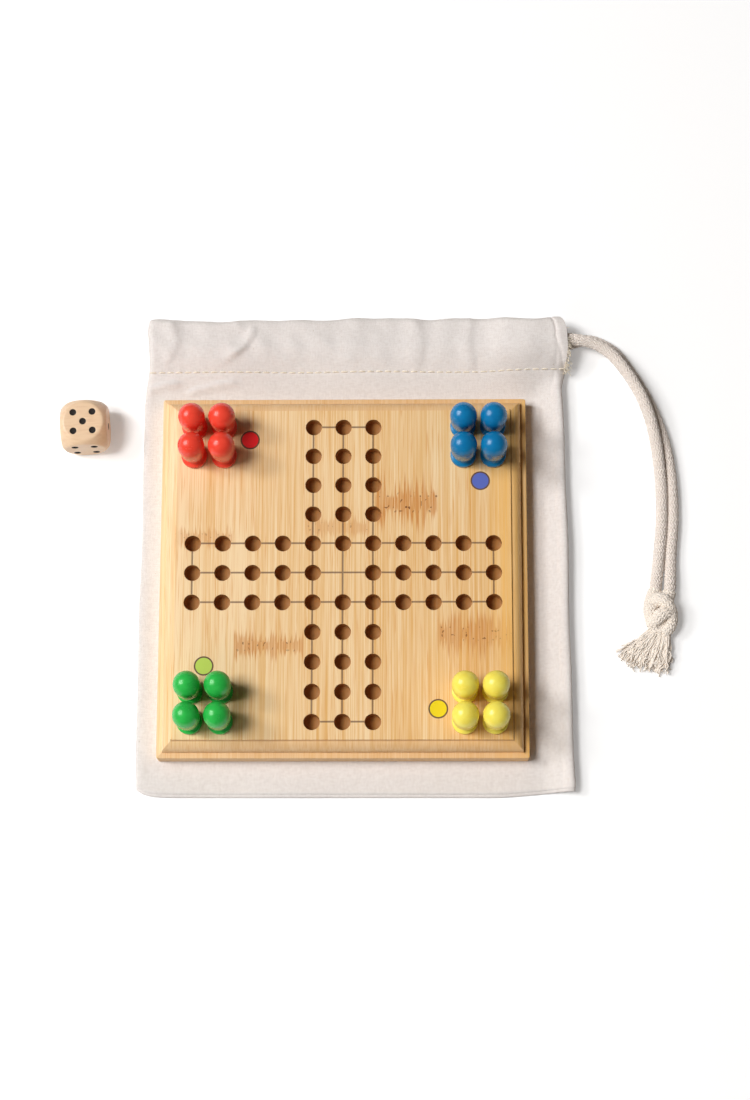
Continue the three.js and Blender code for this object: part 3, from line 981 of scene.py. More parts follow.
@dataclass
class BambooBoard:
    """The board: five glued strips, moulded round the edge and drilled for the pegs."""

    bottom: float = 1.4
    thickness: float = 12.0
    top_half: float = 57.0
    half: float = 62.5
    ovolo: Pair = (3.55, 4.0)
    ovolo_steps: int = 14
    moulding_step: float = 0.5
    corner: float = 0.75
    corner_steps: int = 6
    mitre: float = 0.04
    eased: float = 0.25
    arris: float = 0.12
    arris_steps: int = 3
    sharp_angle: float = 24.0
    pitch: float = 10.2
    arm: int = 5
    hole_radius: float = 2.75
    hole_depth: float = 4.6
    hole_chamfer: float = 0.1
    hole_sides: int = 45
    drill_half_angle: float = 59.0
    drill_over: float = 1.0
    finish: BambooFinish = BambooFinish()

    @property
    def top(self) -> float:
        """The height of the top face."""
        return self.bottom + self.thickness

    @property
    def foot(self) -> float:
        """Half the width of the moulding's foot."""
        return self.top_half + self.ovolo[0]

    def levels(self) -> list[tuple[float, float, float]]:
        """List the board's outlines from its bottom to its top.

        Returns:
            Half side, corner radius and height of each outline.
        """
        soft, arris = self.eased, self.arris
        lip = self.top - self.ovolo[1] - 2 * self.moulding_step
        side = arc((self.half - soft, lip - soft), (soft, soft), 0, 90, self.arris_steps)
        curve = arc((self.top_half, lip + self.moulding_step), self.ovolo, 0, 90, self.ovolo_steps)
        rim = arc((self.top_half - arris, self.top - arris), (arris, arris), 0, 90, self.arris_steps)
        found = [(self.half - soft, self.corner, self.bottom), (self.half, self.corner, self.bottom + soft)]
        found += [(across, self.corner, up) for across, up in side]
        found.append((self.foot, self.mitre, lip))
        found += [(across, self.mitre, up) for across, up in (*curve, *rim)]
        return found

    def blank(self) -> bpy.types.Object:
        """Make the moulded board before it is drilled.

        Returns:
            The board, in the scene.
        """
        points: list[Point] = []
        for half, radius, height in self.levels():
            inner = half - radius
            for quarter, (side_x, side_y) in enumerate(((1, 1), (-1, 1), (-1, -1), (1, -1))):
                centre, start = (side_x * inner, side_y * inner), 90 * quarter
                rounded = arc(centre, (radius, radius), start, start + 90, self.corner_steps)
                points += [(across, along, height) for across, along in rounded]
        around = 4 * (self.corner_steps + 1)
        number = looped(len(points) // around, around)
        ends = [tuple(number[0, :-1].tolist()[::-1]), tuple(number[-1, :-1].tolist())]
        return mesh_object("board_blank", points, ends + woven(number))

    def cutter(self) -> bpy.types.Object:
        """Make the drill that cuts a hole with a chamfered mouth.

        Returns:
            The drill, in the scene.
        """
        radius, depth, over = self.hole_radius, self.hole_depth, self.drill_over
        wide = radius + self.hole_chamfer
        tip = depth + radius / math.tan(math.radians(self.drill_half_angle))
        profile = [(0, -tip), (radius, -depth), (radius, -self.hole_chamfer), (wide, 0.0), (wide, over), (0, over)]
        return mesh_object("hole_cutter", *turned(np.array(profile), self.hole_sides))

    def hole_places(self) -> bpy.types.Object:
        """Make a mesh with one vertex at the mouth of each hole.

        Returns:
            The mesh, in the scene.
        """
        places: list[Point] = []
        span = range(-self.arm, self.arm + 1)
        for row in span:
            for column in span:
                on_arm = abs(row) <= 1 or abs(column) <= 1
                in_home = abs(row) >= self.arm - 1 and abs(column) >= self.arm - 1
                if (on_arm or in_home) and (row, column) != (0, 0):
                    places.append((column * self.pitch, row * self.pitch, self.top))
        return mesh_object("hole_places", places, [])

    def drilling(self) -> GeometryTree:
        """Make the tree that drills the board and saws one strip out of it.

        Returns:
            The tree.
        """
        inputs = {"Cutter": "Object", "Places": "Object", "Left": "Float", "Right": "Float"}
        tree = GeometryTree("drilled strip", inputs)
        cutter, places = (
            tree.node("GeometryNodeObjectInfo", None, {"Object": tree.given[name]}).outputs["Geometry"]
            for name in ("Cutter", "Places")
        )
        copies = tree.made("InstanceOnPoints", {"Points": places, "Instance": cutter})
        drills = tree.made("RealizeInstances", {0: copies})
        cut = {"operation": "DIFFERENCE", "solver": "EXACT"}
        bored = tree.node("GeometryNodeMeshBoolean", cut, {0: tree.given[0], 1: drills}).outputs[0]
        left, right = tree.number("Left"), tree.number("Right")
        depth = 3 * self.half * MM
        block = tree.made("MeshCube", {"Size": tree.joined(right - left, depth, depth)})
        middle = tree.joined((left + right) * 0.5, 0.0, 0.0)
        moved = tree.made("Transform", {0: block, "Translation": middle})
        shared = {"operation": "INTERSECT", "solver": "EXACT"}
        sawn = tree.node("GeometryNodeMeshBoolean", shared, {1: bored})
        tree.feed(sawn.inputs[1], moved)
        tree.finish(sawn.outputs[0])
        return tree

    def build(self) -> None:
        """Make the five strips."""
        tree, cutter, places = self.drilling(), self.cutter(), self.hole_places()
        values = {"Cutter": cutter, "Places": places, "Material": self.finish.material(self)}
        edges = (-self.half - 1, *self.finish.joints, self.half + 1)
        for number, (left, right) in enumerate(zip(edges, edges[1:]), 1):
            sides = {"Left": left * MM, "Right": right * MM}
            strip = tree.run(f"board_strip_{number}", self.blank(), values | sides)
            crisp(strip, self.sharp_angle)
            dressed(strip, Body.BOARD.value, f"bamboo_strip_{number}")
        bpy.data.objects.remove(cutter)
        bpy.data.objects.remove(places)


@dataclass
class PegSet:
    """Sixteen turned pegs, four of each colour, in the home holes."""

    board: BambooBoard
    seat_gap: float = 0.1
    pin: Pair = (2.5, 4.2)
    flange: Pair = (4.35, 1.9)
    waist: tuple[float, float, float] = (3.0, 3.1, 3.9)
    head: tuple[float, float, float] = (4.5, 6.4, 14.2)
    eased: float = 0.35
    hollow: float = 0.3
    sides: int = 48
    sharp_angle: float = 40.0
    homes: tuple[tuple[int, int, PaintFinish], ...] = (
        (-1, 1, PaintFinish("red", display(251, 78, 58), display(231, 50, 36))),
        (1, 1, PaintFinish("blue", display(14, 124, 180), display(3, 99, 154))),
        (-1, -1, PaintFinish("green", display(48, 191, 79), display(20, 155, 54))),
        (1, -1, PaintFinish("yellow", display(255, 240, 104), display(251, 217, 48))),
    )

    def profile(self) -> Array:
        """Draw the profile from the pin's end to the top of the head.

        Returns:
            Radius and height of each point.
        """
        pin, depth = self.pin
        rim, rim_top = self.flange
        waist, waist_low, waist_high = self.waist
        head, shoulder, centre = self.head
        soft, hollow = self.eased, self.hollow
        foot = [(0.0, -depth), (pin - soft, -depth), (pin, -depth + soft), (pin, -0.02), (rim - soft, 0.0)]
        rim_low = arc((rim - soft, soft), (soft, soft), -90, 0, 4)[1:]
        rim_high = arc((rim - soft, rim_top - soft), (soft, soft), 0, 60, 4)
        neck_ends = (rim - soft / 2, rim_top), (waist, rim_top + hollow), (waist, waist_low + hollow)
        neck = bow(*neck_ends, np.linspace(0.25, 1, 6))
        body = bow((waist, waist_high), (head, shoulder), (head, centre), np.linspace(0, 1, 15))
        dome = arc((0, centre), (head, head), 0, 90, 14)[1:-1]
        return np.vstack([foot, rim_low, rim_high, neck, body, dome, [(0.0, centre + head)]])

    def build(self) -> None:
        """Make the pegs."""
        arm, pitch, seat = self.board.arm, self.board.pitch, self.board.top + self.seat_gap
        points, faces = turned(self.profile(), self.sides)
        for side_x, side_y, paint in self.homes:
            material = paint.material()
            for number in range(4):
                row, column = divmod(number, 2)
                place = np.array([side_x * (arm - column) * pitch, side_y * (arm - row) * pitch, seat])
                name = f"{paint.name}_peg_{number + 1}"
                peg = mesh_object("turned_" + name, points + place, faces)
                crisp(peg, self.sharp_angle)
                dressed(peg, name, name, material)


@dataclass
class WoodenDie:
    """A cube rounded by a ball, with a dished pip for each point."""

    size: float = 16.0
    face_circle: float = 13.6
    soft: float = 0.35
    centre: Pair = (-89.4, 52.8)
    turn: float = 2.5
    pip_radius: float = 1.22
    pip_depth: float = 0.5
    pip_offset: float = 3.3
    cuts: int = 62
    sharp_angle: float = 50.0
    finish: DieFinish = DieFinish()

    def sides(self) -> list[tuple[Array, Array, Array, int]]:
        """List the die's faces."""
        x, y, z = np.eye(3)
        return [(z, x, y, 5), (-z, x, -y, 2), (-y, x, z, 4), (y, x, -z, 3), (x, y, z, 1), (-x, -y, z, 6)]

    def pips(self) -> Array:
        """Give the place of every pip on the cube's faces.

        Returns:
            One place to a row.
        """
        found = []
        spots = {1: [(0, 0)], 2: [(1, 1), (-1, -1)], 4: [(1, 1), (-1, -1), (-1, 1), (1, -1)]}
        spots[3] = spots[2] + spots[1]
        spots[5] = spots[4] + spots[1]
        spots[6] = spots[4] + [(-1, 0), (1, 0)]
        for out, side, up, count in self.sides():
            for a, b in spots[count]:
                found.append(out * self.size / 2 + (side * a + up * b) * self.pip_offset)
        return np.array(found)

    def cube(self) -> tuple[Array, Faces]:
        """Cut up a cube of half size 1.

        Returns:
            The points and the faces, which face outwards.
        """
        line = np.tan(np.linspace(-math.pi / 4, math.pi / 4, self.cuts + 1))
        a, b = (grid.ravel() for grid in np.meshgrid(line, line, indexing="ij"))
        points: list[Array] = []
        faces: Faces = []
        for out, side, up, _ in self.sides():
            number = np.arange(a.size).reshape(len(line), len(line)) + len(points) * a.size
            points.append(out + np.outer(a, side) + np.outer(b, up))
            faces += woven(number.T)
        return np.vstack(points), faces

    def rounded(self, cube: Array) -> Array:
        """Round a cube by a ball, with a soft edge between the flat faces and the ball.

        Args:
            cube: Points on a cube.

        Returns:
            The points on the die.
        """
        half = self.size / 2
        ball = math.hypot(half, self.face_circle / 2)
        direction = cube / np.linalg.norm(cube, axis=1)[:, None]
        flat = half / np.abs(direction).max(axis=1)
        blend = np.clip(0.5 + (ball - flat) / (2 * self.soft), 0, 1)
        reach = ball * (1 - blend) + flat * blend - self.soft * blend * (1 - blend)
        return direction * reach[:, None]

    def dished(self, own: Array) -> tuple[Array, Array]:
        """Sink the pips.

        Args:
            own: Points on the plain die.

        Returns:
            The points on the die with pips, and each point's distance to the nearest pip.
        """
        pips = self.pips()
        off = np.linalg.norm(own[:, None, :] - pips[None, :, :], axis=2)
        distance, nearest = off.min(axis=1), pips[off.argmin(axis=1)]
        dish = self.pip_depth * np.clip(1 - (distance / self.pip_radius) ** 2, 0, 1)
        inward = -nearest / np.abs(nearest).max(axis=1)[:, None]
        axis = np.where(np.abs(np.abs(nearest) - self.size / 2) < 1e-6, inward, 0.0)
        return own + axis * dish[:, None], distance

    def build(self) -> None:
        """Make the die."""
        cube, faces = self.cube()
        own = self.rounded(cube)
        shaped, distance = self.dished(own)
        cosine, sine = math.cos(math.radians(self.turn)), math.sin(math.radians(self.turn))
        spin = np.array([[cosine, -sine, 0], [sine, cosine, 0], [0, 0, 1]])
        die = mesh_object("wooden_die", shaped @ spin.T + np.array([*self.centre, self.size / 2]), faces)
        place = die.data.attributes.new(self.finish.own_place, "FLOAT_VECTOR", "POINT")
        place.data.foreach_set("vector", own.astype(np.float32).ravel())
        marks = die.data.attributes.new(self.finish.distance, "FLOAT", "POINT")
        marks.data.foreach_set("value", distance.astype(np.float32))
        merge_doubles(die)
        crisp(die, self.sharp_angle)
        dressed(die, Body.DIE.value, "die", self.finish.material(self.pip_radius))


def swept(tree: GeometryTree, line: Any, radius: Value, sides: int) -> Socket:
    """Sweep a round section along curves.

    Args:
        tree: The tree.
        line: The curves.
        radius: The section's radius.
        sides: Its number of sides.

    Returns:
        The mesh socket.
    """
    section = tree.node("GeometryNodeCurvePrimitiveCircle", None, {"Resolution": sides, "Radius": radius})
    sockets = {0: line, "Profile Curve": section.outputs[0], "Fill Caps": True}
    return tree.made("CurveToMesh", sockets)


def drawn(tree: GeometryTree, low: Value | float, high: Value | float, offset: int) -> Value:
    """Draw one number for each point.

    Args:
        tree: The tree, which has a Seed input.
        low: The lowest number.
        high: The highest number.
        offset: What sets this draw apart from the others.

    Returns:
        The number.
    """
    sockets = {2: low, 3: high, "Seed": tree.number("Seed") + offset}
    made = tree.node("FunctionNodeRandomValue", {"data_type": "FLOAT"}, sockets)
    return Value(tree, made.outputs[1])


def scattered(tree: GeometryTree, limits: Sequence[Pair]) -> list[Value]:
    """Draw a number for each point between each pair of limits.

    Args:
        tree: The tree, which has a Seed input.
        limits: The lowest and highest number of each draw.

    Returns:
        The numbers, set apart by 1, 2 and so on.
    """
    return [drawn(tree, low, high, number) for number, (low, high) in enumerate(limits, 1)]


def merge_doubles(piece: bpy.types.Object) -> None:
    """Close the seams of a mesh by merging vertices that lie together.

    Args:
        piece: The piece.
    """
    work = bmesh.new()
    work.from_mesh(piece.data)
    bmesh.ops.remove_doubles(work, verts=work.verts, dist=0.01 * MM)
    work.to_mesh(piece.data)
    work.free()
    piece.data.update()


@dataclass(frozen=True)
class CordRuns:
    """Where the cord's two runs lie in the casings: beside each other inside, one over the other where they leave."""

    exit: Pair = (77.6, 84.0)
    upper_exit: float = 8.7
    lower_exit: float = 2.8
    upper_inside: Pair = (89.0, 3.9)
    lower_inside: Pair = (82.8, 2.6)
    gather: Pair = (3.0, 18.0)
    climb: Pair = (14.0, 34.0)

    def gathered(self, x: Array) -> Array:
        """Give how far the runs have come together, from 0 inside to 1 where they leave."""
        return 1 - step(self.exit[0] - x, *self.gather)

    def climbed(self, x: Array) -> Array:
        """Give how far the upper run has climbed over the lower casing, from 0 inside to 1 where it leaves."""
        return 1 - step(self.exit[0] - x, *self.climb)

    def upper(self, x: Array) -> tuple[Array, Array]:
        """Give the Y and Z of the upper run."""
        y = self.upper_inside[0] + (self.exit[1] - self.upper_inside[0]) * self.gathered(x)
        return y, self.upper_inside[1] + (self.upper_exit - self.upper_inside[1]) * self.climbed(x)

    def lower(self, x: Array) -> tuple[Array, Array]:
        """Give the Y and Z of the lower run."""
        y = self.lower_inside[0] + (self.exit[1] - self.lower_inside[0]) * self.gathered(x)
        return y, self.lower_inside[1] + (self.lower_exit - self.lower_inside[1]) * self.gathered(x)


@dataclass(frozen=True)
class Undulation:
    """Soft waves in the cloth that run in about one direction."""

    height: float
    count: int
    lengths: Pair
    turn: float
    spread: float = 28.0

    def heights(self, x: Array, y: Array, seed: int) -> Array:
        """Give the waves' heights.

        Args:
            x: Places across.
            y: Places along.
            seed: What sets the random draws.

        Returns:
            The heights, up and down from 0.
        """
        draw = np.random.default_rng(seed + self.count)
        total = np.zeros_like(x)
        for _ in range(self.count):
            angle = math.radians(self.turn + draw.normal(0, self.spread))
            long = draw.uniform(*self.lengths)
            phase = draw.uniform(0, 2 * math.pi)
            total += np.sin((x * math.cos(angle) + y * math.sin(angle)) * 2 * math.pi / long + phase)
        return self.height * total / math.sqrt(self.count)


@dataclass(frozen=True)
class Crease:
    """A fold in the cloth along a line, with a soft slope on its left and a steep one on its right."""

    line: tuple[Pair, ...]
    width: float
    height: float
    slopes: Pair = (2.4, 0.75)

    def heights(self, x: Array, y: Array) -> Array:
        """Give the fold's heights.

        Args:
            x: Places across.
            y: Places along.

        Returns:
            The heights.
        """
        best = np.full_like(x, 1e9)
        side = np.ones_like(x)
        for (ax, ay), (bx, by) in zip(self.line, self.line[1:]):
            dx, dy = bx - ax, by - ay
            t = np.clip(((x - ax) * dx + (y - ay) * dy) / (dx * dx + dy * dy), 0, 1)
            off = np.hypot(x - ax - t * dx, y - ay - t * dy)
            left = np.sign(dx * (y - ay) - dy * (x - ax))
            side = np.where(off < best, left, side)
            best = np.minimum(best, off)
        soft, steep = self.slopes
        return self.height * bell(best, 0.0, np.where(side > 0, soft * self.width, steep * self.width))


@dataclass
class CottonBag:
    """A flat bag of two cotton layers with a cord casing along each side of its mouth."""

    board: BambooBoard
    left: float = -69.7
    right: float = 77.7
    front: float = -74.5
    mouth: float = 91.7
    cloth: float = 0.5
    lower_layer: float = 0.25
    upper_layer: float = 1.05
    hem_gap: float = 0.53
    hem_end: float = 72.8
    hem_inset: float = 9.5
    stitch_line: float = 73.8
    rise: Pair = (66.0, 82.4)
    casing_height: float = 5.2
    exit_height: float = 9.9
    cord_radius: float = 2.1
    fold_radius: float = 1.8
    seam_radius: float = 1.1
    curl: float = 3.0
    curl_reach: Pair = (0.3, 11.0)
    seed: int = 11
    right_edge: tuple[Pair, ...] = (
        (-74.5, -0.4),
        (-72.3, -0.1),
        (-58.8, -0.3),
        (0.0, -1.1),
        (31.6, -1.7),
        (49.5, -2.0),
        (67.6, -2.5),
        (72.1, -1.4),
        (75.0, -0.7),
        (80.3, 0.0),
        (87.6, -0.4),
        (90.2, -1.4),
        (91.7, -2.6),
    )
    left_edge: tuple[Pair, ...] = (
        (62.0, 0.0),
        (68.0, 0.6),
        (74.0, 1.7),
        (78.0, 2.0),
        (84.0, 1.5),
        (88.0, 1.0),
        (91.7, 1.4),
    )
    end_fold: tuple[Pair, ...] = ((73.8, 0.0), (79.5, 2.0), (84.5, 3.7), (91.7, 3.2))
    mouth_sway: tuple[Point, ...] = ((0.4, 17.0, 0.6), (0.28, 6.1, 0.0), (0.18, 2.9, 1.0))
    side_sway: tuple[Point, ...] = ((0.2, 19.0, 0.0), (0.15, 7.3, 0.0))
    lying: Undulation = Undulation(0.7, 7, (18, 46), 30.0)
    lying_lift: float = 0.3
    casing_lift: float = 0.3
    puckers: tuple[Undulation, ...] = (Undulation(0.2, 9, (9, 26), 10.0), Undulation(0.08, 8, (4, 9), 35.0))
    creases: tuple[Crease, ...] = (
        Crease(((-38.6, 79.4), (-34.7, 82.2), (-32.1, 86.4), (-31.6, 88.4)), 0.68, 0.95),
        Crease(((-43.5, 76.4), (-39.6, 78.5), (-37.0, 80.5)), 1.2, 0.3),
        Crease(((-38.9, 91.1), (-36.6, 89.0)), 0.8, 0.4),
        Crease(((26.0, 77.5), (27.0, 84.0), (25.0, 90.0)), 1.5, 0.5),
        Crease(((44.5, 77.0), (43.0, 83.0), (44.0, 90.5)), 1.4, 0.5),
        Crease(((-60.5, 79.5), (-58.5, 84.0), (-60.0, 90.0)), 1.4, 0.5),
        Crease(((-39.2, 70.7), (-46.4, 69.6), (-53.5, 67.6)), 0.7, 0.9),
        Crease(((-59.3, 70.4), (-64.2, 69.7), (-68.2, 68.5)), 0.7, 1.15),
    )
    stitch_pitch: float = 3.0
    stitch_length: float = 2.05
    stitch_thickness: float = 0.52
    fray_count: int = 110
    fray_length: float = 3.0
    fray_thickness: float = 0.22
    fray_turns: tuple[Pair, ...] = ((-1.2, 1.2), (-0.1, 0.7), (-1.3, 1.1))
    runs: CordRuns = CordRuns()
    finish: ClothFinish = ClothFinish()
    thread: YarnFinish = YarnFinish("cream thread", display(252, 245, 231), display(240, 227, 204))

    def columns(self) -> Array:
        """Space the columns of the cloth, closer at the two sides.

        Returns:
            Places across.
        """
        near = np.array([0, 0.12, 0.3, 0.55, 0.9, 1.4, 2.0, 2.7])
        seam = np.concatenate([near[:6], np.arange(1.75, 7.0, 0.45)])
        inner = np.linspace(self.left + 3.6, self.right - 7.2, 122)
        return np.concatenate([self.left + near, inner, (self.right - seam)[::-1]])

    def rows(self) -> Array:
        """Space the rows of the cloth, closer at the front seam and in the casing.

        Returns:
            Places along.
        """
        near = np.concatenate([[0, 0.12, 0.3, 0.55, 0.8, 1.0, 1.2, 1.45, 1.75], np.arange(2.1, 5.5, 0.45)])
        board = np.linspace(self.front + 6.2, 64.0, 58)
        ease = np.arange(65.0, self.stitch_line - 1.5, 0.85)
        stitched = self.stitch_line + np.array([-1.2, -0.7, -0.35, 0.0, 0.35, 0.7, 1.2])
        casing = np.linspace(self.stitch_line + 1.8, self.mouth, 24)
        return np.concatenate([self.front + near, board, ease, stitched, casing])

    def casing(self, x: Array, y: Array) -> Array:
        """Give how far the casing stands up over the cord inside it.

        Args:
            x: Places across.
            y: Places along.

        Returns:
            The height above the stitched layers.
        """
        lift = self.casing_height + (self.exit_height - self.casing_height) * self.runs.climbed(x)
        slope = np.clip((y - self.rise[0]) / (self.rise[1] - self.rise[0]), 0, 1)
        over = np.clip((y - self.mouth + 0.9) / 1.1, 0, 1)
        droop = 0.28
        return lift * 0.5 * (slope + step(slope, 0, 1)) * (1 - droop + droop * np.sqrt(1 - over * over))

    def upper(self, x: Array, y: Array) -> Array:
        """Give the height of the upper layer.

        Args:
            x: Places across.
            y: Places along.

        Returns:
            The heights of the middle of the cloth.
        """
        half = self.board.half
        clear = step(np.maximum(np.abs(x), np.abs(y)), half + 1.2, half + 6.0)
        in_casing = step(y, self.stitch_line + 1, self.stitch_line + 5)
        height = self.upper_layer + self.casing(x, y)
        height = height + clear * self.lying_lift * (1 + self.lying.heights(x, y, self.seed))
        puckers = sum(wave.heights(x, y, self.seed) for wave in self.puckers)
        height = height + in_casing * (puckers + self.casing_lift)
        for crease in self.creases:
            height = height + crease.heights(x, y)
        return height - 0.2 * bell(y, self.stitch_line, 0.6) + self.seams(x, y)

    def seams(self, x: Array, y: Array) -> Array:
        """Give the ridges of the seams at the right side and the front, and of the casing's hemmed end.

        Args:
            x: Places across.
            y: Places along.

        Returns:
            The height that they add.
        """
        side, end = self.right - x, y - self.front
        below = 1 - step(y, self.rise[0], self.stitch_line)
        ridges = 0.8 * below * (1 - step(side, 1.5, 5.0)) - 0.2 * bell(side, 3.7, 0.7)
        ridges = ridges - 0.4 * (1 - step(end, 0.85, 1.2)) + 0.15 * bell(end, 1.7, 0.5)
        off_fold = side - np.interp(y, *zip(*self.end_fold))
        past = 1 - step(off_fold, -0.35, 0.35)
        groove = bell(off_fold, 0.3, 0.5)
        return ridges + (0.35 * past - 0.4 * groove) * step(y, self.stitch_line, self.stitch_line + 2)

    def plan(self, x: Array, y: Array) -> tuple[Array, Array]:
        """Bend the straight outline as the soft bag lies.

        Args:
            x: Places across.
            y: Places along.

        Returns:
            The bent places.
        """
        near_front = 1 - step(y, self.front, self.front + 10)
        near_mouth = step(y, self.stitch_line + 4, self.mouth)
        near_side = step(x, 66, self.right) + (1 - step(x, self.left, -64))
        corners = 2.6 * np.exp(-(x - self.left) / 3.0) + 1.7 * step(x, 50, self.right)
        lying = np.interp(y, *zip(*self.right_edge)) * step(x, 62, self.right)
        lying = lying + np.interp(y, *zip(*self.left_edge)) * (1 - step(x, self.left, self.left + 12))
        pulled = 0.4 * self.runs.climbed(x) * near_mouth
        bent_y = y + rippled(x, self.mouth_sway) * near_mouth + corners * near_front - pulled
        return x + rippled(y, self.side_sway) * near_side + lying, bent_y

    def skin(self) -> tuple[Array, Faces]:
        """Lay out both layers, joined at the fold and the seams, with the hems turned in at the mouth.

        Returns:
            The points of the middle of the cloth, and its faces.
        """
        columns, rows = self.columns(), self.rows()
        x, y = np.meshgrid(columns, rows)
        top = self.upper(x, y)
        flat = np.full_like(top, self.lower_layer)
        middle = self.lower_layer + 0.5 * np.minimum(top - self.lower_layer, 5.0)
        open_end = step(y, self.stitch_line, self.stitch_line + 2.5)
        for off, radius, gape in (
            (x - self.left, self.fold_radius, 0.0),
            (self.right - x, self.seam_radius + 5 * np.clip((top - 2.6) / 5, 0, 1), open_end),
            (y - self.front, self.seam_radius, 0.0),
        ):
            round_off = np.sqrt(1 - (1 - np.clip(off / radius, 0, 1)) ** 2)
            round_off = 1 - (1 - round_off) * (1 - gape)
            top = middle + (top - middle) * round_off
            flat = middle + (flat - middle) * round_off
        curl = self.curl * (1 - step(self.right - x, *self.curl_reach)) * (1 - step(y, self.rise[0], self.stitch_line))
        bent_x, bent_y = self.plan(x, y)
        upper = np.stack([bent_x, bent_y, top + curl], axis=2)
        lower = np.stack([bent_x, bent_y - 0.8 * step(y, 84.0, self.mouth), flat + curl], axis=2)
        upper = np.concatenate([upper, self.turned_in(upper[-1], -1)])
        lower = np.concatenate([lower, self.turned_in(lower[-1], 1)])
        return self.stitched(upper, lower, len(rows))

    def turned_in(self, edge: Array, way: int) -> Array:
        """Fold a layer's mouth edge in and run its hem back between the cord's runs to the stitch line.

        Args:
            edge: The layer's last row of points.
            way: -1 where the hem lies under the layer, 1 where it lies over it.

        Returns:
            The rows to add.
        """
        width, open_columns, fold = self.right - self.left, 8, 0.6
        x = self.left + self.hem_inset + (edge[:, 0] - self.left) * (width - self.hem_inset) / width
        x[-open_columns:] = np.minimum(edge[-open_columns:, 0], x[-open_columns:])
        half = (self.hem(x, edge[:, 1], way) - edge[:, 2]) / 2
        found = []
        for angle in np.radians((30, 60, 90, 120, 150)):
            across = edge[:, 0] + (x - edge[:, 0]) * angle / math.pi
            along = edge[:, 1] + np.minimum(np.abs(half), fold) * math.sin(angle)
            found.append(np.column_stack([across, along, edge[:, 2] + half * (1 - math.cos(angle))]))
        for share in np.linspace(0, 1, 18):
            y = edge[:, 1] + (self.hem_end - edge[:, 1]) * share
            found.append(np.column_stack([x, y, self.hem(x, y, way)]))
        return np.array(found)

    def hem(self, x: Array, y: Array, way: int) -> Array:
        """Give the height of a hem, which passes over the lower run and down under the upper one.

        Args:
            x: Places across.
            y: Places along.
            way: -1 for the upper layer's hem, 1 for the lower layer's.

        Returns:
            The heights of the middle of the cloth.
        """
        run_y, run_z = self.runs.lower(x)
        dropped = step(y, run_y + 1.2, run_y + 4.6) * (1 - self.runs.climbed(x))
        over = step(y, self.stitch_line + 1.5, run_y - 0.6) * (1 - dropped)
        flat = self.lower_layer + self.hem_gap
        height = flat + (run_z + self.cord_radius + 0.7 * self.cloth - flat) * over
        if way > 0:
            return height
        sewn = 1 - step(y, self.stitch_line + 0.8, run_y - 0.6)
        return height + self.hem_gap + sewn * (self.upper(x, y) - height - 2 * self.hem_gap)

    def stitched(self, upper: Array, lower: Array, joined_rows: int) -> tuple[Array, Faces]:
        """Join the two layers into one mesh.

        Args:
            upper: The upper layer's rows of points.
            lower: The lower layer's rows of points.
            joined_rows: The rows up to the mouth.

        Returns:
            The points and faces.
        """
        count, across = upper.shape[0], upper.shape[1]
        number = np.arange(count * across).reshape(count, across)
        other = number + count * across
        shut = upper[:joined_rows, -1, 1] <= self.stitch_line + 0.1
        other[0, :] = number[0, :]
        other[:joined_rows, 0] = number[:joined_rows, 0]
        other[:joined_rows, -1] = np.where(shut, number[:joined_rows, -1], other[:joined_rows, -1])
        points = np.concatenate([upper.reshape(-1, 3), lower.reshape(-1, 3)])
        used, renumbered = np.unique(np.array(woven(number) + woven(other.T)), return_inverse=True)
        return points[used], [tuple(face) for face in renumbered.reshape(-1, 4).tolist()]

    def laid_on(self, name: str, across: Array, along: Array, above: float) -> bpy.types.Object:
        """Lay a line on the upper layer."""
        height = self.upper(across, along) + above
        return polyline(name, [np.column_stack([*self.plan(across, along), height])])

    def stitch_tree(self) -> GeometryTree:
        """Make the tree that lays stitches along a line.

        Returns:
            The tree.
        """
        tree = GeometryTree("stitches", {"Pitch": "Float", "Length": "Float", "Thickness": "Float"})
        line = tree.line()
        spots = tree.node("GeometryNodeCurveToPoints", {"mode": "LENGTH"}, {0: line, "Length": tree.given["Pitch"]})
        half, thick = tree.number("Length") * 0.5, tree.number("Thickness")
        bent = {
            "Start": tree.joined(half * -1, 0.0, thick * -0.5),
            "Middle": tree.joined(0.0, 0.0, thick * 0.9),
            "End": tree.joined(half, 0.0, thick * -0.5),
        }
        thread = tree.made("CurveQuadraticBezier", {"Resolution": 6} | bent)
        aim = tree.node("FunctionNodeAlignRotationToVector", {"axis": "X"}, {"Vector": spots.outputs["Tangent"]})
        stitch = swept(tree, thread, thick * 0.5, 6)
        laid = {"Points": spots.outputs[0], "Instance": stitch, "Rotation": aim.outputs[0]}
        tree.finish(tree.made("InstanceOnPoints", laid))
        return tree

    def stitches(self, material: bpy.types.Material) -> bpy.types.Object:
        """Sew the row of stitches under the casing.

        Args:
            material: The thread's material.

        Returns:
            The stitches.
        """
        across = np.linspace(self.left + 1.5, self.right - 1.0, 150)
        along = self.stitch_line + rippled(across, ((0.12, 9.0, 0.0),))
        line = self.laid_on("stitch_line", across, along, self.cloth / 2 + 0.16)
        sizes = {"Pitch": self.stitch_pitch, "Length": self.stitch_length, "Thickness": self.stitch_thickness}
        values = {name: size * MM for name, size in sizes.items()} | {"Material": material}
        return dressed(self.stitch_tree().run("casing_stitches", line, values), Body.BAG.value, None)

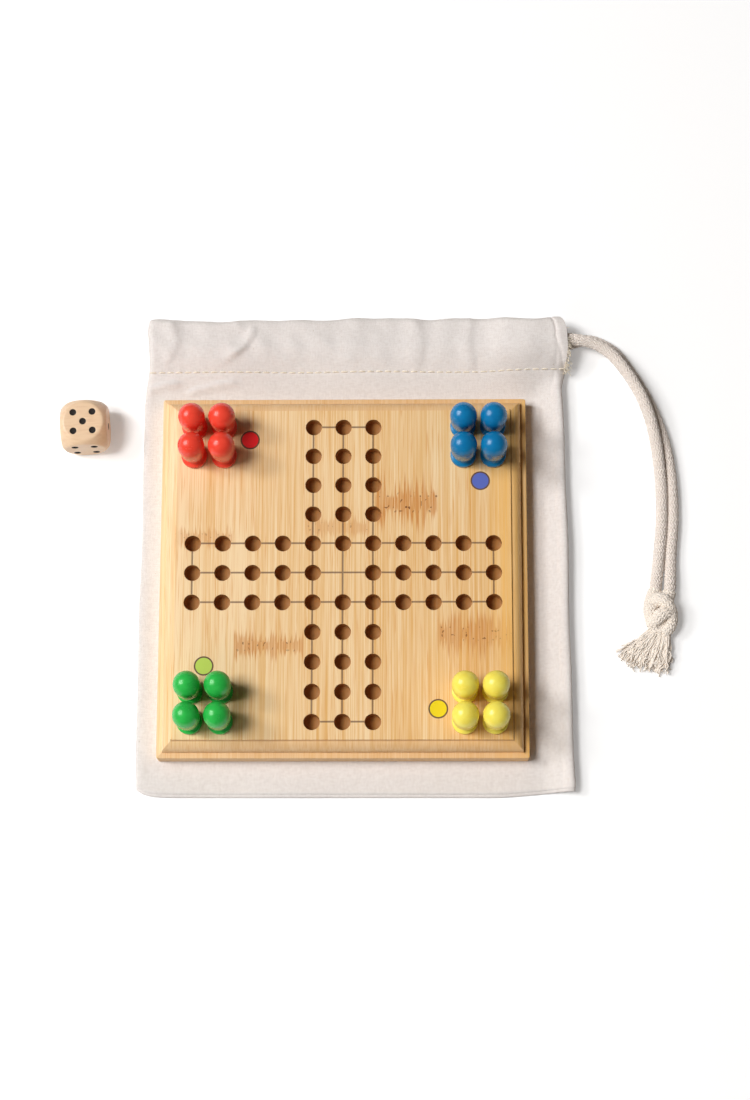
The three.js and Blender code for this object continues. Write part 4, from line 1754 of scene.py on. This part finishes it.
    def fray_tree(self) -> GeometryTree:
        """Make the tree that frays a raw edge into short loose threads.

        Returns:
            The tree.
        """
        tree = GeometryTree("frayed edge", {"Count": "Int", "Length": "Float", "Thickness": "Float", "Seed": "Int"})
        line = tree.line()
        spots = tree.node("GeometryNodeCurveToPoints", {"mode": "COUNT"}, {0: line, "Count": tree.given["Count"]})
        bent = {"Start": (0.0, 0.0, 0.0), "Middle": (0.55, 0.25, 0.1), "End": (1.0, -0.1, -0.25)}
        hair = tree.made("CurveQuadraticBezier", {"Resolution": 5} | bent)
        turn = tree.joined(*scattered(tree, self.fray_turns))
        share = drawn(tree, 0.0, 1.0, 4)
        size = tree.number("Length") * (0.3 + 0.7 * share * share)
        laid = {"Points": spots.outputs[0], "Instance": hair, "Rotation": turn, "Scale": size}
        hairs = tree.made("InstanceOnPoints", laid)
        real = tree.made("RealizeInstances", {0: hairs})
        tree.finish(swept(tree, real, tree.number("Thickness") * 0.5, 4))
        return tree

    def frayed(self, material: bpy.types.Material) -> bpy.types.Object:
        """Fray the raw edge at the casing's end.

        Args:
            material: The thread's material.

        Returns:
            The loose threads.
        """
        along = np.linspace(self.stitch_line - 1.5, self.mouth - 4.0, 40)
        across = self.right - 0.3 - 2.0 * step(along, self.stitch_line + 6, self.mouth)
        edge = self.laid_on("raw_edge", across, along, 0.0)
        values = {"Count": self.fray_count, "Seed": self.seed, "Material": material}
        values |= {"Length": self.fray_length * MM, "Thickness": self.fray_thickness * MM}
        return dressed(self.fray_tree().run("loose_threads", edge, values), Body.BAG.value, None)

    def build(self) -> None:
        """Make the bag's cloth, the row of stitches under the casing and the casing's frayed end."""
        cloth = mesh_object("bag_cloth", *self.skin())
        cloth.data.polygons.foreach_set("use_smooth", np.ones(len(cloth.data.polygons), bool))
        wall = cloth.modifiers.new("cloth thickness", "SOLIDIFY")
        wall.thickness = self.cloth * MM
        wall.offset = 0.0
        dressed(cloth, Body.BAG.value, "cotton_bag", self.finish.material())
        thread = self.thread.material()
        extras = [self.stitches(thread), self.frayed(thread)]


@dataclass(frozen=True)
class Braid:
    """The thickness of a braided cord, of its yarns and of its core."""

    radius: float
    yarn: float
    core: float
    yarns: int = 12
    lay: float = 15.0

    def inputs(self, material: bpy.types.Material) -> dict[str, Any]:
        """Give the inputs of the tree that braids it."""
        sizes = {"Radius": self.radius * MM, "Yarn": self.yarn * MM, "Core": self.core * MM}
        return sizes | {"Yarns": self.yarns, "Turns": 1 / (self.lay * MM), "Material": material}


@dataclass
class Drawstring:
    """One cotton cord through both casings, its two ends tied in one knot with a frayed tassel."""

    diameter: float = 4.2
    runs: CordRuns = CordRuns()
    turn_back: float = -62.5
    free: Braid = Braid(2.1, 0.78, 1.55)
    squeezed: Braid = Braid(2.0, 0.78, 1.5)
    tied: Braid = Braid(2.4, 0.85, 1.85)
    yarn: YarnFinish = YarnFinish("natural cotton cord", display(249, 241, 234), display(234, 221, 210))
    # A lighter copy of the cord's yarn for the knot and the tassel: painted light that offsets the shade in their
    # creases.
    lightened_yarn: YarnFinish = YarnFinish("loosened cotton cord", display(255, 248, 239), display(246, 233, 219))
    upper_route: tuple[Point, ...] = (
        (4.5, -0.4, 8.4),
        (8.5, -1.2, 7.9),
        (14.5, -4.6, 7.2),
        (20.3, -11.8, 7.0),
        (25.2, -20.5, 6.9),
        (28.3, -29.3, 6.3),
        (30.2, -38.5, 4.9),
        (31.4, -50.5, 3.5),
        (31.4, -63.5, 3.0),
        (30.1, -76.9, 2.8),
        (28.9, -86.0, 3.0),
        (28.5, -89.3, 3.4),
    )
    lower_route: tuple[Point, ...] = (
        (4.6, 1.3, 2.4),
        (9.2, 1.0, 2.2),
        (15.9, -2.7, 2.2),
        (21.8, -10.3, 2.2),
        (27.0, -19.3, 2.2),
        (30.8, -28.4, 2.2),
        (33.5, -37.9, 2.2),
        (35.1, -50.4, 2.2),
        (35.2, -63.5, 2.2),
        (34.1, -76.9, 2.2),
        (33.7, -86.0, 3.0),
        (33.2, -89.3, 3.4),
    )
    knot_lobes: tuple[tuple[Point, ...], ...] = (
        ((28.6, -88.4, 3.2), (27.0, -92.2, 4.6), (26.6, -95.8, 5.2), (27.2, -99.2, 4.4), (28.8, -102.0, 3.2)),
        ((27.4, -93.2, 4.6), (29.2, -91.9, 6.4), (31.4, -92.8, 6.9), (33.2, -95.4, 5.6), (33.6, -98.0, 3.8)),
        (
            (27.2, -100.2, 3.8),
            (28.7, -98.5, 6.4),
            (30.8, -96.9, 7.0),
            (32.9, -96.5, 6.0),
            (33.5, -98.6, 4.8),
            (32.6, -101.4, 4.0),
            (30.8, -102.8, 3.4),
        ),
        ((33.2, -88.8, 3.2), (32.4, -92.2, 4.0), (31.0, -95.8, 3.8), (30.2, -99.6, 3.6), (29.6, -103.0, 3.2)),
    )
    tassel_root: Point = (29.4, -103.0, 0.1)
    tassel_length: float = 13.0
    tassel_width: float = 6.4
    tassel_scatter: tuple[Pair, ...] = ((-0.8, 0.8), (-0.6, 1.6), (0.4, 4.4))
    tassel_fan: Pair = (-0.9, -0.04)
    tassel_drift: float = 6.0
    strands: int = 340
    strand_points: int = 18
    strand_yarn: float = 0.5
    seed: int = 5

    def along(self, route: Sequence[Point], spacing: float) -> Array:
        """Give a smooth line, in the part's frame, along a route that is measured from the casing's end."""
        start = np.array([*self.runs.exit, 0.0])
        return smooth_path(np.asarray(route, float) + start, spacing)

    def inside(self) -> Array:
        """Give the line of the cord inside the casings, from the upper exit round the fold to the lower exit.

        Returns:
            The line's points.
        """
        x = np.linspace(self.runs.exit[0], self.turn_back, 40)
        upper = np.column_stack([x, *self.runs.upper(x)])
        lower = np.column_stack([x, *self.runs.lower(x)])[::-1]
        middle = (upper[-1] + lower[0]) / 2
        across = (upper[-1] - lower[0]) / 2
        reach = np.array([-np.linalg.norm(across[:2]), 0.0, 0.0])
        bend = [middle + across * math.cos(a) + reach * math.sin(a) for a in np.linspace(0, math.pi, 9)[1:-1]]
        return smooth_path(np.vstack([upper, bend, lower]), 1.2)

    def braid(self) -> GeometryTree:
        """Make the tree that braids yarns round a core along each line of a mesh.

        Returns:
            The tree.
        """
        inputs = {"Radius": "Float", "Yarn": "Float", "Yarns": "Int", "Turns": "Float", "Core": "Float"}
        tree = GeometryTree("braided cord", inputs)
        yarn, yarns = tree.number("Yarn"), tree.number("Yarns")
        line = tree.line()
        made = [swept(tree, line, tree.number("Core"), 10)]
        for way in (1, -1):
            sockets = {0: line, "Amount": tree.given["Yarns"]}
            copies = tree.node("GeometryNodeDuplicateElements", {"domain": "SPLINE"}, sockets)
            index = Value(tree, copies.outputs["Duplicate Index"])
            length = Value(tree, tree.node("GeometryNodeSplineParameter").outputs["Length"])
            travel = length * tree.number("Turns") * (2 * math.pi)
            angle = index * (2 * math.pi) / yarns + travel * way
            weave = (travel * yarns).cosine() * way
            reach = tree.number("Radius") - yarn * (0.62 - 0.3 * weave)
            normal = tree.made("InputNormal")
            tangent = tree.made("InputTangent")
            across = tree.scaled(tree.vector("CROSS_PRODUCT", tangent, normal), angle.sine() * reach)
            out = tree.vector("ADD", tree.scaled(normal, angle.cosine() * reach), across)
            moved = tree.made("SetPosition", {0: copies.outputs[0], "Offset": out})
            made.append(swept(tree, moved, yarn * 0.5, 6))
        joined = tree.node("GeometryNodeJoinGeometry")
        for part in made:
            tree.feed(joined.inputs[0], part)
        tree.finish(joined.outputs[0])
        return tree

    def tassel_tree(self) -> GeometryTree:
        """Make the tree that frays the cord's ends into a fan of strands.

        Returns:
            The tree.
        """
        inputs = {"Strands": "Int", "Length": "Float", "Left": "Float", "Right": "Float", "Yarn": "Float"}
        tree = GeometryTree("frayed tassel", inputs | {"Seed": "Int"})
        yarn, left, right = tree.number("Yarn"), tree.number("Left"), tree.number("Right")
        share = drawn(tree, 0.0, 1.0, 4)
        x, y, z = scattered(tree, [(low * MM, high * MM) for low, high in self.tassel_scatter])
        place = tree.joined((share - 0.5) * (self.tassel_width * MM) + x, y, z)
        roots = tree.made("Points", {"Count": tree.given["Strands"], "Position": place})
        strand = tree.made("CurvePrimitiveLine", {"End": (0.0, -1.0, 0.0)})
        fine = tree.made("ResampleCurve", {0: strand, "Count": self.strand_points})
        turn = left + (right - left) * share + drawn(tree, -0.14, 0.14, 5)
        long = tree.number("Length") * drawn(tree, 0.8, 1.04, 6)
        laid = {"Points": roots, "Instance": fine, "Rotation": tree.joined(0.0, 0.0, turn), "Scale": long}
        copies = tree.made("InstanceOnPoints", laid)
        real = tree.made("RealizeInstances", {0: copies})
        position = tree.made("InputPosition")
        factor = Value(tree, tree.node("GeometryNodeSplineParameter").outputs["Factor"])
        index = Value(tree, tree.made("InputIndex"))
        number = tree.math("FLOOR", index / self.strand_points)
        where = tree.vector("ADD", tree.scaled(position, 300.0), tree.joined(number * 0.7, number * 0.31, 0.0))
        wavy = tree.node("ShaderNodeTexNoise", None, {"Vector": where, "Scale": 1.0, "Detail": 1.0}).outputs["Color"]
        centred = tree.vector("SUBTRACT", wavy, (0.5, 0.5, 0.5))
        drift = tree.scaled(centred, factor * (self.tassel_drift * MM))
        x, y, z = tree.parted(tree.vector("ADD", position, drift))
        bent = tree.joined(x, y, abs(z) * (1 - 0.45 * factor) + yarn * 0.5)
        moved = tree.made("SetPosition", {0: real, "Position": bent})
        tree.finish(swept(tree, moved, yarn * 0.5, 6))
        return tree

    def build(self) -> None:
        """Make the cord inside the casing, its two ends, the knot and the tassel."""
        # The knot and the tassel take the lighter yarn: painted light against the shade in their creases.
        braid, material, lightened = self.braid(), self.yarn.material(), self.lightened_yarn.material()
        inside = polyline("casing_line", [self.inside()])
        cord = braid.run("cord_in_casing", inside, self.squeezed.inputs(material))
        dressed(cord, Body.BAG.value, "drawstring_in_casing")

        lobes = polyline("knot_lines", [self.along(lobe, 0.7) for lobe in self.knot_lobes])
        knot = braid.run("cord_knot", lobes, self.tied.inputs(lightened))
        dressed(knot, Body.BAG.value, "drawstring_knot")

        tassel = self.tassel(lightened)
        routes = ((self.runs.upper_exit, self.upper_route), (self.runs.lower_exit, self.lower_route))
        for number, (height, route) in enumerate(routes, 1):
            line = self.along(((-2.0, 0.0, height), (0.3, 0.0, height), *route), 0.8)
            cord = braid.run(f"cord_end_{number}", polyline("end_line", [line]), self.free.inputs(material))
            dressed(cord, Body.BAG.value, f"drawstring_end_{number}")

    def tassel(self, material: bpy.types.Material) -> bpy.types.Object:
        """Make the frayed ends below the knot.

        Args:
            material: The yarn's material.

        Returns:
            The tassel.
        """
        left, right = self.tassel_fan
        values = {"Strands": self.strands, "Left": left, "Right": right, "Seed": self.seed, "Material": material}
        values |= {"Length": self.tassel_length * MM, "Yarn": self.strand_yarn * MM}
        seed_point = mesh_object("tassel_seed", [(0.0, 0.0, 0.0)], [])
        tassel = self.tassel_tree().run("cord_tassel", seed_point, values)
        root = (np.array([*self.runs.exit, 0.0]) + self.tassel_root) * MM
        tassel.data.transform(Matrix.Translation(root))
        return dressed(tassel, Body.BAG.value, "drawstring_tassel")


@dataclass
class Studio:
    """The table, the soft light and the camera."""

    camera_place: Point = (25.22, -186.74, 837.04)
    azimuth: float = 4.2406
    tilt: float = 13.3265
    roll: float = -4.2529
    lens: float = 81.82
    sensor: float = 36.0
    clip: Pair = (0.01, 20.0)
    table_half: float = 1.5
    table_colour: Colour = (0.9, 0.9, 0.9, 1.0)
    floor_glow: float = 0.25
    floor_fade: Pair = (260.0, 1100.0)
    lamps: tuple[tuple[str, float, float, Shine, Point], ...] = (
        ("softbox", 31.9, 0.62, Shine.MATT, (-936.0, -58.0, 2040.0)),
        ("window", 17.5, 0.47, Shine.MATT, (-1625.0, 364.0, 1722.0)),
        ("pane", 50.0, 1.3, Shine.GLOSS, (-1625.0, 364.0, 1722.0)),
        ("reflector", 0.9, 0.5, Shine.MATT, (-420.0, -560.0, 520.0)),
    )
    fill: float = 0.07
    fill_colour: Colour = (1.0, 0.8, 0.64, 1.0)
    black: Colour = (0.0, 0.0, 0.0, 1.0)
    white: Colour = (1.0, 1.0, 1.0, 1.0)

    def build(self) -> None:
        """Set up the studio."""
        self.table()
        self.lights()
        self.world()
        self.camera()

    @staticmethod
    def seen(graph: Graph, *kinds: str) -> Value:
        """Give 1 for the kinds of ray that look at a surface, and 0 for those that light others.

        Args:
            graph: The tree.
            kinds: The kinds of ray.

        Returns:
            The mask.
        """
        path = graph.node("ShaderNodeLightPath").outputs
        mask, *others = (Value(graph, path[f"Is {kind} Ray"]) for kind in kinds)
        for other in others:
            mask = mask.higher(other)
        return mask

    def table(self) -> None:
        """Lay a plain white table under the set, which glows to the eye far out and keeps its shadows near."""
        half = self.table_half / MM
        corners = [(-half, -half, 0), (half, -half, 0), (half, half, 0), (-half, half, 0)]
        table = mesh_object("table", corners, [(0, 1, 2, 3)])
        constants = {"Base Color": self.table_colour, "Roughness": 0.9, "Specular IOR Level": 0.0}
        graph = ShaderGraph("white table", constants | {"Emission Strength": 1.0})
        x, y, _ = graph.place()
        glow = x.away(y).rise(*self.floor_fade).between(self.floor_glow, 1.0)
        looks = self.seen(graph, "Camera", "Glossy", "Transmission")
        graph.feed(graph.shader.inputs["Emission Color"], graph.mixed(looks * glow, self.black, self.white))
        table.data.materials.append(graph.material)

    def lights(self) -> None:
        """Hang a softbox, a window and its shining pane at the left, and a weak reflector at the front."""
        for name, power, size, shine, place in self.lamps:
            light = bpy.data.lights.new(name, "AREA")
            light.shape = "SQUARE"
            light.size = size
            light.energy = power
            hung = placed(bpy.data.objects.new(name, light))
            hung.visible_glossy = shine is Shine.GLOSS
            hung.visible_diffuse = shine is Shine.MATT
            hung.location = Vector(place) * MM
            hung.rotation_euler = (-hung.location).to_track_quat("-Z", "Y").to_euler()

    def world(self) -> None:
        """Light the set from all round, on a white background."""
        world = bpy.data.worlds.new("studio")
        bpy.context.scene.world = world
        world.use_nodes = True
        graph = Graph(world.node_tree)
        background = world.node_tree.nodes["Background"].inputs
        looks = self.seen(graph, "Camera", "Transmission")
        graph.feed(background["Color"], graph.mixed(looks, self.fill_colour, self.white))
        graph.feed(background["Strength"], looks.between(self.fill, 1.0))

    def camera(self) -> None:
        """Place the camera as the photograph was taken."""
        turn, lean, roll = (math.radians(angle) for angle in (self.azimuth, self.tilt, self.roll))
        back = Vector((math.sin(turn) * math.sin(lean), -math.cos(turn) * math.sin(lean), math.cos(lean)))
        level = Vector((math.cos(turn), math.sin(turn), 0.0))
        upright = back.cross(level)
        right = level * math.cos(roll) + upright * math.sin(roll)
        up = upright * math.cos(roll) - level * math.sin(roll)
        data = bpy.data.cameras.new("camera")
        data.lens = self.lens
        data.sensor_width = self.sensor
        data.clip_start, data.clip_end = self.clip
        camera = placed(bpy.data.objects.new("camera", data))
        axes = Matrix((right, up, back)).transposed().to_4x4()
        camera.matrix_world = Matrix.Translation(Vector(self.camera_place) * MM) @ axes
        bpy.context.scene.camera = camera


def main() -> None:
    """Build the studio and the set."""
    logging.basicConfig(level=logging.INFO, format="%(name)s: %(message)s")
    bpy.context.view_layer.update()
    bpy.context.scene.view_settings.view_transform = "Standard"
    board = BambooBoard()
    for piece in (Studio(), Drawstring(), CottonBag(board), board, PegSet(board), WoodenDie()):
        piece.build()


if __name__ == "__main__":
    main()
